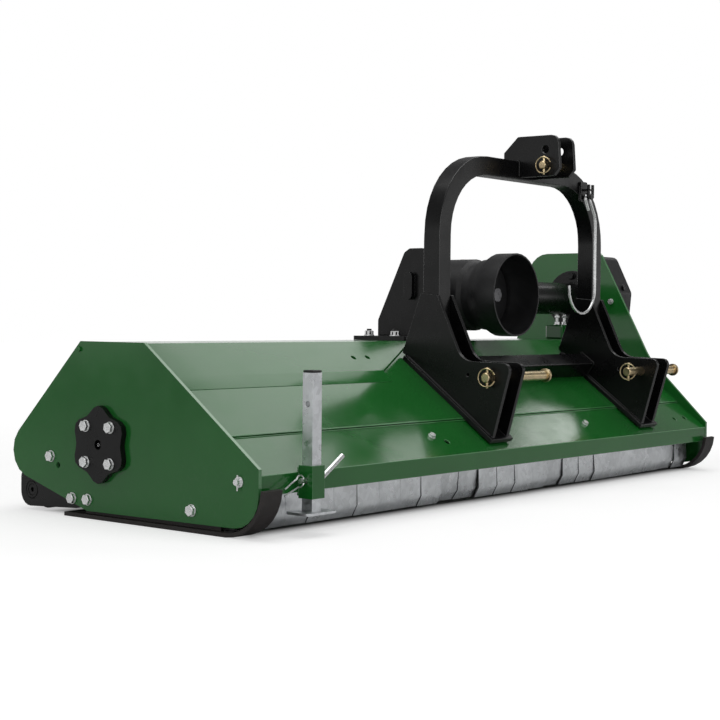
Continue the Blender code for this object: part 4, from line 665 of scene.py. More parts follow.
@dataclass(frozen=True)
class SprayPaint(Finish):
    """Sprayed paint with orange peel, haze and light handling marks."""

    coat: float = 0.5
    wave: float = 240.0
    haze: float = 0.10
    marks: float = 0.15
    mark_color: Triple = (0.35, 0.36, 0.35)
    peel_depth: float = 0.00008
    sheen: float = 0.5

    def make(self) -> Material:
        """Build the material.

        Returns:
            The material.
        """
        made, tree, shader, where = self.start()
        peel = self.group(tree, "peel", Vector=where, Wave_Size=self.wave, Haze=self.haze,
                          Gloss=self.roughness)
        marks = self.group(tree, "marks", Vector=where, Amount=self.marks, Size=75.0)
        base = tree.mix(peel["Shade"], self.shade(0.90), self.shade(1.10))
        tree.feed(shader, Base_Color=tree.mix(marks["Mask"], base, (*self.mark_color, 1.0)),
                  Roughness=peel["Roughness"], Specular_IOR_Level=self.sheen,
                  Coat_Weight=self.coat, Coat_Roughness=0.08)
        self.bump(tree, shader, peel["Height"], 0.35, self.peel_depth)
        return made


@dataclass(frozen=True)
class ZincCoat(Finish):
    """Zinc on steel, with crystals that show on hot-dip pieces."""

    crystals: float = 90.0
    contrast: float = 0.18
    tint: Triple = (1.0, 1.0, 1.0)

    def make(self) -> Material:
        """Build the material.

        Returns:
            The material.
        """
        made, tree, shader, where = self.start()
        zinc = self.group(tree, "spangle", Vector=where, Crystals=self.crystals)
        high = self.shade(1.0 + self.contrast)
        tinted = (*(part * tint for part, tint in zip(high, self.tint)), 1.0)
        tone = tree.mix(zinc["Tone"], self.shade(1.0 - self.contrast), tinted)
        rough = tree.maths("ADD", zinc["Roughness"], self.roughness - SPANGLE_GLOSS)
        tree.feed(shader, Base_Color=tone, Roughness=rough)
        self.bump(tree, shader, zinc["Height"], 0.12, 0.0002)
        return made


@dataclass(frozen=True)
class Grained(Finish):
    """Cast metal, moulded plastic or rubber with a pitted grain."""

    size: float = 500.0
    depth: float = 0.0003
    variation: float = 0.15
    marks: float = 0.12

    def make(self) -> Material:
        """Build the material.

        Returns:
            The material.
        """
        made, tree, shader, where = self.start()
        grain = self.group(tree, "grain", Vector=where, Size=self.size)
        marks = self.group(tree, "marks", Vector=where, Amount=self.marks, Size=90.0)
        base = tree.mix(grain["Shade"], self.shade(1 - self.variation),
                        self.shade(1 + self.variation))
        rough = tree.span(grain["Shade"], 0.0, 1.0, self.roughness - 0.05, self.roughness + 0.08)
        tree.feed(shader, Base_Color=tree.mix(marks["Mask"], base, self.shade(3.0)),
                  Roughness=rough)
        self.bump(tree, shader, grain["Height"], 0.3, self.depth)
        return made


def finish(kind: Finish) -> Material:
    """Return a field that makes a finish's material when its owner is made."""
    return field(default_factory=kind.make)


@dataclass
class Palette:
    """Every finish of the machine, made once."""

    green: Material = finish(SprayPaint("gloss_green_paint", (0.0105, 0.128, 0.0190), 0.15,
                                        coat=0.20, haze=0.07, marks=0.03))
    # The lighter green on rounded edges is a painted highlight for the light that edges catch.
    green_edge_highlight: Material = finish(SprayPaint("painted_highlight_green", (0.060, 0.230, 0.075), 0.12,
                                             coat=1.0, haze=0.05, marks=0.10, wave=320.0))
    black: Material = finish(SprayPaint("satin_black_paint", (0.0030, 0.0030, 0.0033), 0.26,
                                        coat=0.0, haze=0.10, marks=0.10, wave=320.0, sheen=0.32,
                                        mark_color=(0.08, 0.08, 0.08)))
    # The lighter black on rounded edges is a painted highlight for the light that edges catch.
    black_edge_highlight: Material = finish(SprayPaint("painted_highlight_black", (0.022, 0.022, 0.023), 0.20,
                                             coat=0.7, haze=0.10, marks=0.06, wave=320.0,
                                             mark_color=(0.20, 0.20, 0.20)))
    brown: Material = finish(SprayPaint("skid_primer_paint", (0.012, 0.0085, 0.0078), 0.50,
                                        coat=0.0, haze=0.16, marks=0.4, wave=180.0,
                                        mark_color=(0.09, 0.05, 0.035), peel_depth=0.0002))
    steel: Material = finish(ZincCoat("dark_forged_steel", (0.22, 0.22, 0.23), 0.42, 1.0,
                                      crystals=300.0, contrast=0.25))
    cast: Material = finish(Grained("painted_casting", (0.011, 0.011, 0.012), 0.46, 0.0,
                                    size=420.0, depth=0.0005))
    zinc: Material = finish(ZincCoat("galvanised_sheet", (0.70, 0.72, 0.74), 0.34, 1.0))
    bright: Material = finish(ZincCoat("bright_zinc_plate", (0.88, 0.89, 0.89), 0.32, 1.0,
                                       crystals=400.0, contrast=0.08))
    yellow: Material = finish(ZincCoat("yellow_zinc_plate", (0.64, 0.54, 0.34), 0.30, 1.0,
                                       crystals=60.0, contrast=0.14, tint=(1.0, 0.92, 0.85)))
    rubber: Material = finish(Grained("belt_rubber", (0.012, 0.012, 0.012), 0.75, 0.0, size=700.0))
    plastic: Material = finish(Grained("black_moulded_plastic", (0.010, 0.010, 0.011), 0.44, 0.0,
                                       size=900.0, depth=0.00015, marks=0.06))
    red: Material = finish(Grained("red_moulded_plastic", (0.16, 0.010, 0.012), 0.42, 0.0,
                                   size=900.0, depth=0.00015, variation=0.08, marks=0.0))


def ring_cutter(place: Vector, turn: Triple, radius: float,
                thickness: float, sides: int) -> Object:
    """Make a torus that cuts a groove.

    Args:
        place: its middle.
        turn: how it is turned from lying flat.
        radius: how far the middle of its section is from its own.
        thickness: the radius of its section.
        sides: how many sides its section has.

    Returns:
        The cutter.
    """
    deselect()
    bpy.ops.mesh.primitive_torus_add(location=place, rotation=turn, major_radius=radius,
                                     minor_radius=thickness, major_segments=40,
                                     minor_segments=sides)
    made = bpy.context.object
    settle(made)
    return made


def wear(obj: Object, material: Material) -> None:
    """Give an object one material."""
    obj.data.materials.clear()
    obj.data.materials.append(material)


def place_on(obj: Object, body: str, material: Material) -> None:
    """Finish a new piece.

    Args:
        obj: the piece.
        body: the body that carries it.
        material: its finish.
    """
    wear(obj, material)
    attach(obj, body)
    LOG.info("piece %s on %s", obj.name, body)


def dress(node: str, material: Material, width: float = 0.0008,
          angle: float = 32.0, cuts: Sequence[Object] = (),
          trims: Sequence[tuple[Vector, Way]] = (),
          edge: Material | None = None) -> Object:
    """Replace a CAD node by its own shape with welded faces and rounded edges.

    Args:
        node: the CAD node.
        material: its finish.
        width: how far its edges are rounded.
        angle: the angle above which an edge counts as sharp.
        cuts: cutters for holes and grooves.
        trims: planes that it ends at, where separate fasteners stand on it.
        edge: the finish of its rounded edges, a lighter paint that is a painted highlight along
            them.

    Returns:
        The new piece.
    """
    source = frame["nodes"][node]
    made = copy_of(source, node + "_skin")
    edit(made, everything=True)
    bpy.ops.mesh.remove_doubles(threshold=0.00002)
    leave_edit()
    for place, way in trims:
        trim(made, place, way)
    edit(made, everything=True)
    bpy.ops.mesh.dissolve_limited(angle_limit=math.radians(0.6), use_dissolve_boundaries=False)
    leave_edit()
    if cuts:
        cut(made, cuts)
    wear(made, material)
    # The rounding's faces take the edge finish, a lighter paint that is a painted highlight.
    if edge is not None:
        made.data.materials.append(edge)
    if width > 0:
        round_edges(made, width, 2, angle, -1 if edge is None else 1)
    else:
        pick(made)
        bpy.ops.object.shade_smooth_by_angle(angle=math.radians(angle))
    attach(made, source["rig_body"])
    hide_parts(node)
    LOG.info("skin of %s", node)
    return made


def hit(node: str, start: Vector, way: Way) -> Vector:
    """Return where a line first meets a CAD node.

    Args:
        node: the CAD node.
        start: where the line starts.
        way: its direction.

    Returns:
        The point on the node's surface, or the start where the line misses it.
    """
    data = frame["nodes"][node].data
    tree = BVHTree.FromPolygons([vertex.co for vertex in data.vertices],
                                [face.vertices for face in data.polygons])
    place = tree.ray_cast(start, Vector(way.value))[0]
    if place is None:
        LOG.warning("no surface of %s below %s", node, tuple(round(v, 4) for v in start))
        return start
    return place


# Fasteners


@dataclass(frozen=True)
class Fastener:
    """A hexagon bolt head on its washer, modelled once and copied to its places."""

    across: float = 0.0195
    head: float = 0.0060
    washer_r: float = 0.0119
    washer_t: float = 0.0018
    spin: float = 0.0
    spring_t: float = 0.0

    def pattern(self) -> Object:
        """Model the head, its chamfer and washer along +Z, seated at the origin.

        Returns:
            The object that every copy is taken from.
        """
        washer = column(28, self.washer_r, self.washer_t, 0.0)
        round_edges(washer, 0.0005, 2, 50)
        corner = self.across / 2 / math.cos(math.pi / 6)
        body = column(6, corner, self.head, self.washer_t + self.spring_t)
        edit(body)
        choose_faces(body, lambda centre, normal: normal.z > 0.9)
        bpy.ops.mesh.inset(thickness=self.across * 0.07)
        bpy.ops.transform.translate(value=(0, 0, 0.0006))
        bpy.ops.mesh.inset(thickness=self.across * 0.14)
        bpy.ops.transform.translate(value=(0, 0, -0.0004))
        leave_edit()
        round_edges(body, 0.0005, 2, 25)
        pieces = [washer, body]
        if self.spring_t > 0:
            pieces.append(self.spring(corner * 0.94))
        return join(pieces, "fastener_pattern")

    def spring(self, radius: float) -> Object:
        """Model the split spring washer that lies between the washer and the head.

        Args:
            radius: its outer radius.

        Returns:
            The ring, cut through at one side.
        """
        ring = bar("spring", radius, self.spring_t, Vector((0, 0, self.washer_t)), Way.UP, 32)
        slit = block("slit", (radius, 0.0012, 0.02), Vector((radius * 1.05, 0, 0)), 0.0)
        cut(ring, [slit])
        round_edges(ring, 0.0003, 2, 50)
        return ring

    def set_at(self, places: Iterable[tuple[Vector, Way]], name: str) -> Object:
        """Copy the fastener to several places and join the copies.

        Args:
            places: each seat and the way its head points.
            name: the joined piece's name.

        Returns:
            The joined piece.
        """
        pattern = self.pattern()
        copies = []
        for index, (place, way) in enumerate(places):
            made = copy_of(pattern, "%s_%d" % (name, index))
            aim(made, place, Vector(way.value), self.spin * index)
            copies.append(made)
        bpy.data.objects.remove(pattern, do_unlink=True)
        return join(copies, name)


def head_cut(side: int, y: float, z: float) -> Object:
    """Make the cutter that clears a plain bolt head off the outside of a side plate."""
    size = (0.020, 0.030, 0.025)
    return block("head_cut", size, at(side * (HALF_WIDTH + CLEAR + size[0] / 2), y, z), 0.0)


@dataclass
class Weld:
    """Weld beads: rows of overlapping ripples along lines."""

    radius: float = 0.0030
    pitch: float = 0.0046
    waist: float = 0.80
    jitter: float = 0.00025

    def bead(self, start: Vector, end: Vector) -> Object:
        """Lay one bead.

        Args:
            start: where it begins.
            end: where it stops.

        Returns:
            The bead, with closed ends.
        """
        run = end - start
        count = max(2, round(run.length / self.pitch))
        deselect()
        bpy.ops.mesh.primitive_cylinder_add(vertices=8, radius=self.radius * self.waist,
                                            depth=self.pitch, end_fill_type="NOTHING",
                                            location=(0, 0, self.pitch / 2))
        made = bpy.context.object
        settle(made)
        edit(made, "EDGE")
        choose_edges(made, lambda a, b: abs(a.z - b.z) > self.pitch / 2)
        bpy.ops.mesh.subdivide(number_cuts=1)
        bpy.ops.mesh.select_all(action="DESELECT")
        middle = self.pitch / 2
        choose_edges(made, lambda a, b: abs(a.z - middle) + abs(b.z - middle) < 0.0001)
        grow = 1.0 / self.waist
        bpy.ops.transform.resize(value=(grow, grow, 1.0), center_override=(0, 0, middle))
        leave_edit()
        row = made.modifiers.new("row", "ARRAY")
        row.count = count
        row.relative_offset_displace = (0.0, 0.0, 1.0)
        row.use_merge_vertices = True
        row.merge_threshold = 0.00005
        apply_all(made)
        edit(made, "EDGE")
        bpy.ops.mesh.select_non_manifold(extend=False)
        bpy.ops.mesh.edge_face_add()
        leave_edit()
        made.data.transform(Matrix.Diagonal((1, 1, run.length / (count * self.pitch), 1)))
        for vertex in made.data.vertices:
            vertex.co.x += random.uniform(-self.jitter, self.jitter)
            vertex.co.y += random.uniform(-self.jitter, self.jitter)
        aim(made, start, run)
        outward(made)
        pick(made)
        bpy.ops.object.shade_smooth()
        return made

    def beads(self, lines: Sequence[tuple[Vector, Vector]], name: str) -> Object:
        """Lay several beads and join them into one piece."""
        return join([self.bead(start, end) for start, end in lines], name)


# Sub-assemblies


@dataclass
class Assembly:
    """What every sub-assembly shares: the finishes, and short calls for common pieces."""

    palette: Palette

    def zinc(self, obj: Object, body: str = "frame") -> None:
        """Finish a piece in bright zinc."""
        place_on(obj, body, self.palette.bright)

    def black(self, obj: Object, body: str = "frame") -> None:
        """Finish a piece in black paint."""
        place_on(obj, body, self.palette.black)


@dataclass
class Shell(Assembly):
    """The hood, side plates and skids, with the bolts that hold them."""

    cover_t: float = 0.0120
    square: float = 0.036
    axis_z: float = 0.150
    hole_r: float = 0.0068
    drill_reach: float = 0.020
    plate_t: float = 0.008
    seat_gap: float = 0.0003
    nipple_r: float = 0.0030
    nipple_x: Pair = (0.0030, 0.0012)
    upper_holes: Places = ((-0.316, -0.164), (-0.267, -0.164))
    lower_holes: Places = ((-0.269, -0.387), (0.780, -0.385), (0.837, -0.385))
    lower_lift: float = -0.010
    bolt_lift: float = -0.0108
    hood_bolts: Places = ((-0.303, -0.370), (0.328, -0.374))
    tall_bolt: Pair = (-0.122, 0.460)
    seams: Places = ((0.2762, -0.0079), (0.2795, -0.0103))
    seam_r: float = 0.0012
    seam_half: float = 0.8905

    def build(self) -> None:
        """Dress the plates and sheets, and set the bolts."""
        self.dress_plates()
        self.dress_hood()
        self.set_bolts()
        self.set_hood_bolts()

    def dress_plates(self) -> None:
        """Dress the side plates, skids and cover, without the plain heads of the bolts."""
        for side, way, name in SIDES:
            outside = at(side * (HALF_WIDTH + CLEAR), 0, 0)
            plate = dress("side_plate_" + name, self.palette.green, 0.0018,
                          trims=[(outside, way)], edge=self.palette.green_edge_highlight)
            # The plate's narrow faces take the lighter green, a painted highlight along its edges.
            for face in plate.data.polygons:
                if abs(face.normal.x) < 0.3:
                    face.material_index = 1
        for side, way, name in SIDES:
            heads = [head_cut(side, *bolt) for bolt in SKID_BOLTS]
            dress("skid_" + name, self.palette.brown, 0.0012, cuts=heads)
        dress("counter_blade", self.palette.steel, 0.0005)
        cover = at(-HALF_WIDTH - self.cover_t - CLEAR, 0, 0)
        dress("bearing_cover", self.palette.black, 0.0012, trims=[(cover, Way.LEFT)])

    def dress_hood(self) -> None:
        """Dress the hood's sheets and drill the spare holes that the photograph shows."""
        edge = self.palette.green_edge_highlight
        dress("hood_upper_sheet", self.palette.green, 0.0010, edge=edge)
        for node, places, lift in (("hood_stiffener", self.upper_holes, 0.0),
                                   ("hood_lower_sheet", self.lower_holes, self.lower_lift)):
            holes = [drill(self.hole_r, self.drill_reach, on_slope(x, y, lift), Way.SLOPE)
                     for x, y in places]
            dress(node, self.palette.green, 0.0010, cuts=holes, edge=edge)
        # Thin bars along the sheets' laps. Their lighter green is a painted highlight on the lap
        # edges.
        seams = []
        for run, lift in self.seams:
            y = CREST_Y - run * math.cos(SLOPE) - lift * math.sin(SLOPE)
            seams.append(bar("seam", self.seam_r, 2 * self.seam_half,
                             on_slope(-self.seam_half, y, lift), Way.RIGHT, 12))
        made = join(seams, "lap_seams")
        round_edges(made, 0.0003, 1, 60)
        place_on(made, "frame", edge)

    def set_bolts(self) -> None:
        """Set zinc bolts over the cover and over the plates' bolt places."""
        outer = -HALF_WIDTH - self.cover_t - self.seat_gap
        seats = [(at(outer, y * self.square, self.axis_z + z * self.square), Way.LEFT)
                 for y in (-1, 1) for z in (-1, 1)]
        short = Fastener(head=0.0050, washer_t=0.0020, spin=0.35, spring_t=0.0017)
        self.zinc(short.set_at(seats, "cover_bolts"))
        for side, way, name in SIDES:
            for bolts, kind, body in ((SKID_BOLTS, "_skid_bolts", "frame"),
                                      ((LOCK_BOLT,), "_lock_bolt", "frame"),
                                      ((PIVOT_BOLT,), "_pivot_bolt", "carriage")):
                places = [(at(side * HALF_WIDTH, *bolt), way) for bolt in bolts]
                self.zinc(Fastener(spin=0.4).set_at(places, name + kind), body)
        ends = [at(outer + x, 0, self.axis_z) for x in self.nipple_x]
        self.zinc(wire("grease_nipple_ball", ends, self.nipple_r))

    def set_hood_bolts(self) -> None:
        """Set the small bolts on the hood's lower sheet and the tall plate."""
        small = Fastener(across=0.013, head=0.0050, washer_r=0.0085, washer_t=0.0016, spin=0.5)
        places = [(on_slope(x, y, self.bolt_lift), Way.SLOPE) for x, y in self.hood_bolts]
        self.zinc(small.set_at(places, "hood_bolts"))
        places = [(at(HALF_WIDTH - self.plate_t, *self.tall_bolt), Way.LEFT)]
        self.zinc(small.set_at(places, "tall_plate_bolt"))


@dataclass
class FlapCurtain(Assembly):
    """The row of galvanised flaps, each rolled round the rod."""

    rod_y: float = -0.374
    rod_z: float = 0.104
    bore: float = 0.0068
    thickness: float = 0.003
    count: int = 24
    groups: int = 8
    gap: float = 0.0012
    half_span: float = 0.8545
    bend_z: float = 0.034
    bottom_z: float = 0.0115
    bend_in: float = 0.012
    eye_turn: float = 275.0
    tilts: Sequence[float] = (0.6, 1.4, 0.2, 0.9, -0.1, 0.7, 1.4, -0.2, 7.4, 6.0, 0.2, -0.9,
                              -2.2, 0.6, 5.0, 0.8, -0.6, -3.2, -2.3, -1.2, -0.2, 1.0, 2.8, -0.8)

    def flap(self, low: float, high: float, name: str) -> Object:
        """Fold one flap from a strip: bent foot, face and rolled eye.

        Args:
            low: where its left edge lies along the rod.
            high: where its right edge lies.
            name: the flap's name.

        Returns:
            The flap, hanging straight down.
        """
        middle = (low + high) / 2
        height = self.rod_z - self.bend_z
        place = at(middle, self.rod_y - self.bore, self.bend_z + height / 2)
        deselect()
        bpy.ops.mesh.primitive_plane_add(size=1.0, location=place, rotation=(math.pi / 2, 0, 0))
        made = bpy.context.object
        made.scale = (high - low, height, 1.0)
        settle(made)
        top = self.rod_z - 0.0001
        edit(made, "EDGE")
        choose_edges(made, lambda a, b: min(a.z, b.z) > top)
        centre = at(middle, self.rod_y, self.rod_z)
        bpy.ops.mesh.spin(steps=12, angle=-math.radians(self.eye_turn), center=centre,
                          axis=(1, 0, 0))
        bpy.ops.mesh.select_all(action="DESELECT")
        foot = self.bend_z + 0.0001
        choose_edges(made, lambda a, b: max(a.z, b.z) < foot)
        drop = self.bottom_z - self.bend_z
        bpy.ops.mesh.extrude_region_move(
            TRANSFORM_OT_translate={"value": (0, self.bend_in, drop)})
        leave_edit()
        made.name = name
        outward_y = self.facing(made)
        wall = made.modifiers.new("wall", "SOLIDIFY")
        wall.thickness = self.thickness
        wall.offset = 1.0 if outward_y else -1.0
        round_edges(made, 0.0005, 2, 40)
        return made

    def facing(self, obj: Object) -> bool:
        """Say whether the flap's faces point away from the rod."""
        faces = [face for face in obj.data.polygons if face.center.z < self.rod_z - 0.02]
        return sum(face.normal.y for face in faces) < 0

    def build(self) -> None:
        """Hang every flap on its body, with a little play between them."""
        dress("flap_rod", self.palette.bright, 0.0004)
        each = self.count // self.groups
        pitch = 2 * self.half_span / self.count
        pivot = at(0, self.rod_y, self.rod_z)
        for group in range(self.groups):
            for number in range(group * each, (group + 1) * each):
                low = -self.half_span + number * pitch + self.gap / 2
                made = self.flap(low, low + pitch - self.gap, "flap_%02d" % (number + 1))
                tilt = Matrix.Rotation(math.radians(self.tilts[number]), 4, "X")
                made.data.transform(Matrix.Translation(pivot) @ tilt @ Matrix.Translation(-pivot))
                place_on(made, "flaps_%d" % (group + 1), self.palette.zinc)
                made.data.materials.append(self.palette.steel)
                for face in made.data.polygons:
                    if abs(face.normal.x) > 0.6:
                        face.material_index = 1
                if number == group * each:
                    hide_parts("flap_group_%d" % (group + 1))


@dataclass
class Drive(Assembly):
    """The gearbox, torque tube, shafts, belts and their cover."""

    shaft_x: float = 0.246
    shaft_z: float = 0.467
    shaft_r: float = 0.0175
    shaft_tip_y: float = -0.168
    splines: int = 6
    spline_r: float = 0.0040
    spline_length: float = 0.042
    groove_y: float = 0.016
    groove_r: float = 0.0032
    bridge_x: Pair = (0.055, 0.067)
    bridge_y: Pair = (-0.096, 0.057)
    bolt_x: Pair = (0.000, 0.170)
    bolt_y: Pair = (-0.034, 0.046)
    base_z: float = 0.3628
    flange_x: float = 0.8800
    flange_weld_r: float = 0.0455
    flange_bolt_r: float = 0.066
    screw_ring_r: float = 0.074
    block_top: float = 0.3917
    jack_x: Pair = (0.802, 0.842)
    jack_tip: float = 0.4217
    jack_head: float = 0.0095
    cover_x: float = 0.945
    cover_z: Pair = (0.500, 0.300)
    cover_rim: float = 0.014
    cover_press: float = 0.0018

    def build(self) -> None:
        """Dress the driveline."""
        self.dress_nodes()
        self.dress_shafts()
        self.set_bridge()
        self.set_gearbox()
        self.set_jacks()
        self.set_belt_cover()

    def set_jacks(self) -> None:
        """Set the two threaded jack bolts that tighten the belts, each with its nuts."""
        low = Fastener(across=0.0132, head=0.0066, washer_r=0.0092, washer_t=0.0020, spin=0.5)
        high = Fastener(across=0.0132, head=0.0048, washer_r=0.0072, washer_t=0.0008, spin=0.3)
        top = self.block_top + 0.0002
        places = [(at(x, 0, top), Way.UP) for x in self.jack_x]
        self.zinc(low.set_at(places, "jack_nuts"))
        places = [(at(x, 0, self.jack_tip - self.jack_head), Way.UP) for x in self.jack_x]
        self.zinc(high.set_at(places, "jack_heads"))
        thread = Weld(radius=0.0045, pitch=0.00125, waist=0.86, jitter=0.0)
        lines = [(at(x, 0, top), at(x, 0, self.jack_tip)) for x in self.jack_x]
        self.zinc(thread.beads(lines, "jack_threads"))

    def dress_nodes(self) -> None:
        """Dress the housings, bridge, tube, belts and pulleys."""
        for node in ("gearbox_housing", "bearing_housing_left", "bearing_housing_right",
                     "drive_pulley", "rotor_pulley"):
            dress(node, self.palette.cast, 0.0012)
        for node in ("gearbox_bridge", "torque_tube"):
            dress(node, self.palette.black, 0.0010, edge=self.palette.black_edge_highlight)
        dress("tension_block", self.palette.green, 0.0010, edge=self.palette.green_edge_highlight,
              trims=[(at(0, 0, self.block_top), Way.UP)])
        dress("pto_shield", self.palette.plastic, 0.0010)
        dress("drive_belt", self.palette.rubber, 0.0004)
        dress("fill_plug", self.palette.red, 0.0005)

    def dress_shafts(self) -> None:
        """Cut the splines and the ring groove in the input shaft, and dress both shafts."""
        start = at(self.shaft_x, self.shaft_tip_y - 0.004, self.shaft_z)
        tools = [bar("spline_cutter", self.spline_r, self.spline_length, place, Way.BACK, 16)
                 for place in
                 round_places(start, self.shaft_r + 0.0016, self.splines, Way.RIGHT)]
        middle = at(self.shaft_x, self.shaft_tip_y + self.groove_y, self.shaft_z)
        ring = ring_cutter(middle, (math.pi / 2, 0, 0), self.shaft_r + 0.0012, self.groove_r, 14)
        dress("input_shaft", self.palette.steel, 0.0004, cuts=tools + [ring])
        dress("output_shaft", self.palette.steel, 0.0005)

    def set_bridge(self) -> None:
        """Set the bridge's four bolts and lay its weld beads."""
        heads = Fastener(head=0.0096, washer_r=0.0125, washer_t=0.0024)
        places = [(at(x, y, self.base_z), Way.UP) for x in self.bolt_x for y in self.bolt_y]
        self.zinc(heads.set_at(places, "bridge_bolts"))
        left, right = self.bridge_x
        lines = [tuple(at(x, y, self.base_z) for y in self.bridge_y)
                 for x in (left - 0.001, right + 0.001)]
        self.black(Weld().beads(lines, "bridge_welds"))
        ring = round_places(at(self.flange_x, 0, self.shaft_z), self.flange_weld_r, 18, Way.BACK,
                            True)
        self.black(Weld(radius=0.0034).beads(list(zip(ring, ring[1:])), "flange_weld"))

    def set_gearbox(self) -> None:
        """Set the cover screws on the gearbox's back, and the flange bolts by the side plate."""
        cap = Fastener(across=0.010, head=0.0060, washer_r=0.0072, washer_t=0.0012, spin=0.4)
        behind = at(self.shaft_x, 0.20, self.shaft_z)
        seats = [(hit("gearbox_housing", start, Way.FRONT), Way.BACK)
                 for start in round_places(behind, self.screw_ring_r, 8, Way.RIGHT)]
        self.zinc(cap.set_at(seats, "gearbox_screws"))
        flange = Fastener(across=0.017, head=0.0075, washer_r=0.0105, washer_t=0.0024, spin=0.3)
        beside = at(0.60, 0, self.shaft_z)
        seats = [(hit("torque_tube", start, Way.RIGHT), Way.LEFT)
                 for start in round_places(beside, self.flange_bolt_r, 6, Way.BACK)]
        self.black(flange.set_at(seats, "flange_bolts"))

    def set_belt_cover(self) -> None:
        """Press the belt cover's outer face in, and set the screws in its walls."""
        cover = dress("belt_cover", self.palette.plastic, 0.0)
        outer = max(vertex.co.x for vertex in cover.data.vertices)
        edit(cover)
        choose_faces(cover, lambda centre, normal: normal.x > 0.99 and centre.x > outer - 0.0002)
        bpy.ops.mesh.inset(thickness=self.cover_rim, use_boundary=True, use_even_offset=True)
        bpy.ops.mesh.inset(thickness=0.003, depth=-self.cover_press, use_boundary=True)
        leave_edit()
        round_edges(cover, 0.0012, 2, 30)
        screw = Fastener(across=0.013, head=0.0050, washer_r=0.0100, washer_t=0.0016, spin=0.5)
        seats = [(hit("belt_cover", at(self.cover_x, start, z), inward), head)
                 for start, inward, head in ((-0.40, Way.BACK, Way.FRONT),
                                             (0.40, Way.FRONT, Way.BACK))
                 for z in self.cover_z]
        self.black(screw.set_at(seats, "belt_cover_screws"))


@dataclass
class Rotor(Assembly):
    """The rotor and its rows of hammers."""

    def build(self) -> None:
        """Dress the rotor tube and the hammers."""
        dress("rotor_tube", self.palette.black, 0.0)
        for row in range(1, 5):
            dress("hammer_row_%d" % row, self.palette.steel, 0.0006)


@dataclass
class Linkage(Assembly):
    """The arch, hitch plates, pins and hook."""

    legs: Pair = (-0.0955, 0.5875)
    pair_half: float = 0.0325
    strip_y: Pair = (-0.404, -0.174)
    beam: Pair = (-0.2338, 0.2883)
    beam_half: float = 0.0232
    top_x: Pair = (0.208, 0.284)
    arch_y: Pair = (-0.2510, -0.2060)
    arch_z: Pair = (0.7520, 0.7920)
    beam_x: Pair = (-0.0622, 0.5542)
    bracket_x: Pair = (0.4925, 0.5235)
    bracket_y: float = -0.2520
    bracket_z: Pair = (0.716, 0.752)
    prong_x: Pair = (0.49825, 0.51775)

    def build(self) -> None:
        """Dress the linkage and weld it."""
        for node in ("arch", "hitch_plates_left", "hitch_plates_right", "cross_beam",
                     "top_plate_left", "top_plate_right", "hook_bracket"):
            dress(node, self.palette.black, 0.0012, edge=self.palette.black_edge_highlight)
        for node in ("lower_pin_left", "lower_pin_right", "top_link_pin"):
            dress(node, self.palette.yellow, 0.0004)
        dress("pto_hook", self.palette.bright, 0.0)
        self.weld_feet()
        self.weld_beam()
        self.weld_top()
        self.fork_hook()

    def fork_hook(self) -> None:
        """Make the forked lug that keeps the hook's eye from slipping off its peg."""
        lug = [block("shelf", (0.028, 0.0215, 0.0040), at(0.508, -0.26775, 0.7427))]
        lug += [block("prong", (0.0085, 0.0050, 0.034), at(x, -0.2760, 0.7390))
                for x in self.prong_x]
        self.black(join(lug, "hook_fork"))

    def weld_feet(self) -> None:
        """Lay beads between the hitch plates and the strips they stand on."""
        for leg, side in zip(self.legs, ("left", "right")):
            lines = []
            for sign in (-1, 1):
                x = leg + sign * (self.pair_half + 0.0008)
                ends = [hit("hitch_plates_" + side, at(x + sign * 0.003, y, 0.60), Way.DOWN)
                        for y in self.strip_y]
                lines.append(tuple(Vector((ORIGIN.x + x, end.y, end.z)) for end in ends))
            self.black(Weld(radius=0.0036).beads(lines, "foot_welds_" + side))

    def weld_beam(self) -> None:
        """Lay beads round both ends of the cross beam."""
        middle_y, middle_z = self.beam
        corners = []
        for turn in range(5):
            angle = SLOPE + math.radians(45 + 90 * turn)
            reach = self.beam_half * math.sqrt(2)
            corners.append((middle_y + reach * math.cos(angle), middle_z + reach * math.sin(angle)))
        lines = [(at(x, *a), at(x, *b)) for x in self.beam_x
                 for a, b in zip(corners, corners[1:])]
        self.black(Weld(radius=0.0034).beads(lines, "beam_welds"))

    def weld_top(self) -> None:
        """Lay beads where the top-link plates meet the arch, and behind the hook bracket."""
        front, back = self.arch_y
        low, high = self.arch_z
        lines = []
        for x, sign in zip(self.top_x, (-1, 1)):
            edge = x + sign * 0.0006
            lines.append((at(edge, front - 0.0004, low + 0.002), at(edge, front - 0.0004, high)))
            lines.append((at(edge, front, high + 0.0004), at(edge, back - 0.003, high + 0.0004)))
        for x in self.bracket_x:
            lines.append(tuple(at(x, self.bracket_y, z) for z in self.bracket_z))
        self.black(Weld(radius=0.0026).beads(lines, "top_welds"))


@dataclass
class ParkingStand(Assembly):
    """The parking stand in its sleeve, with its cap and lock pin."""

    weld_x: Pair = (-0.7908, -0.7552)
    weld_y: float = -0.4212
    weld_z: Pair = (0.074, 0.127)

    def build(self) -> None:
        """Dress the stand."""
        dress("stand_sleeve", self.palette.green, 0.0010, edge=self.palette.green_edge_highlight)
        dress("stand_tube", self.palette.zinc, 0.0008)
        dress("stand_cap", self.palette.plastic, 0.0005)
        dress("stand_lock_pin", self.palette.bright, 0.0)
        lines = [tuple(at(x, self.weld_y, z) for z in self.weld_z) for x in self.weld_x]
        weld = Weld(radius=0.0024).beads(lines, "sleeve_welds")
        place_on(weld, "frame", self.palette.green)


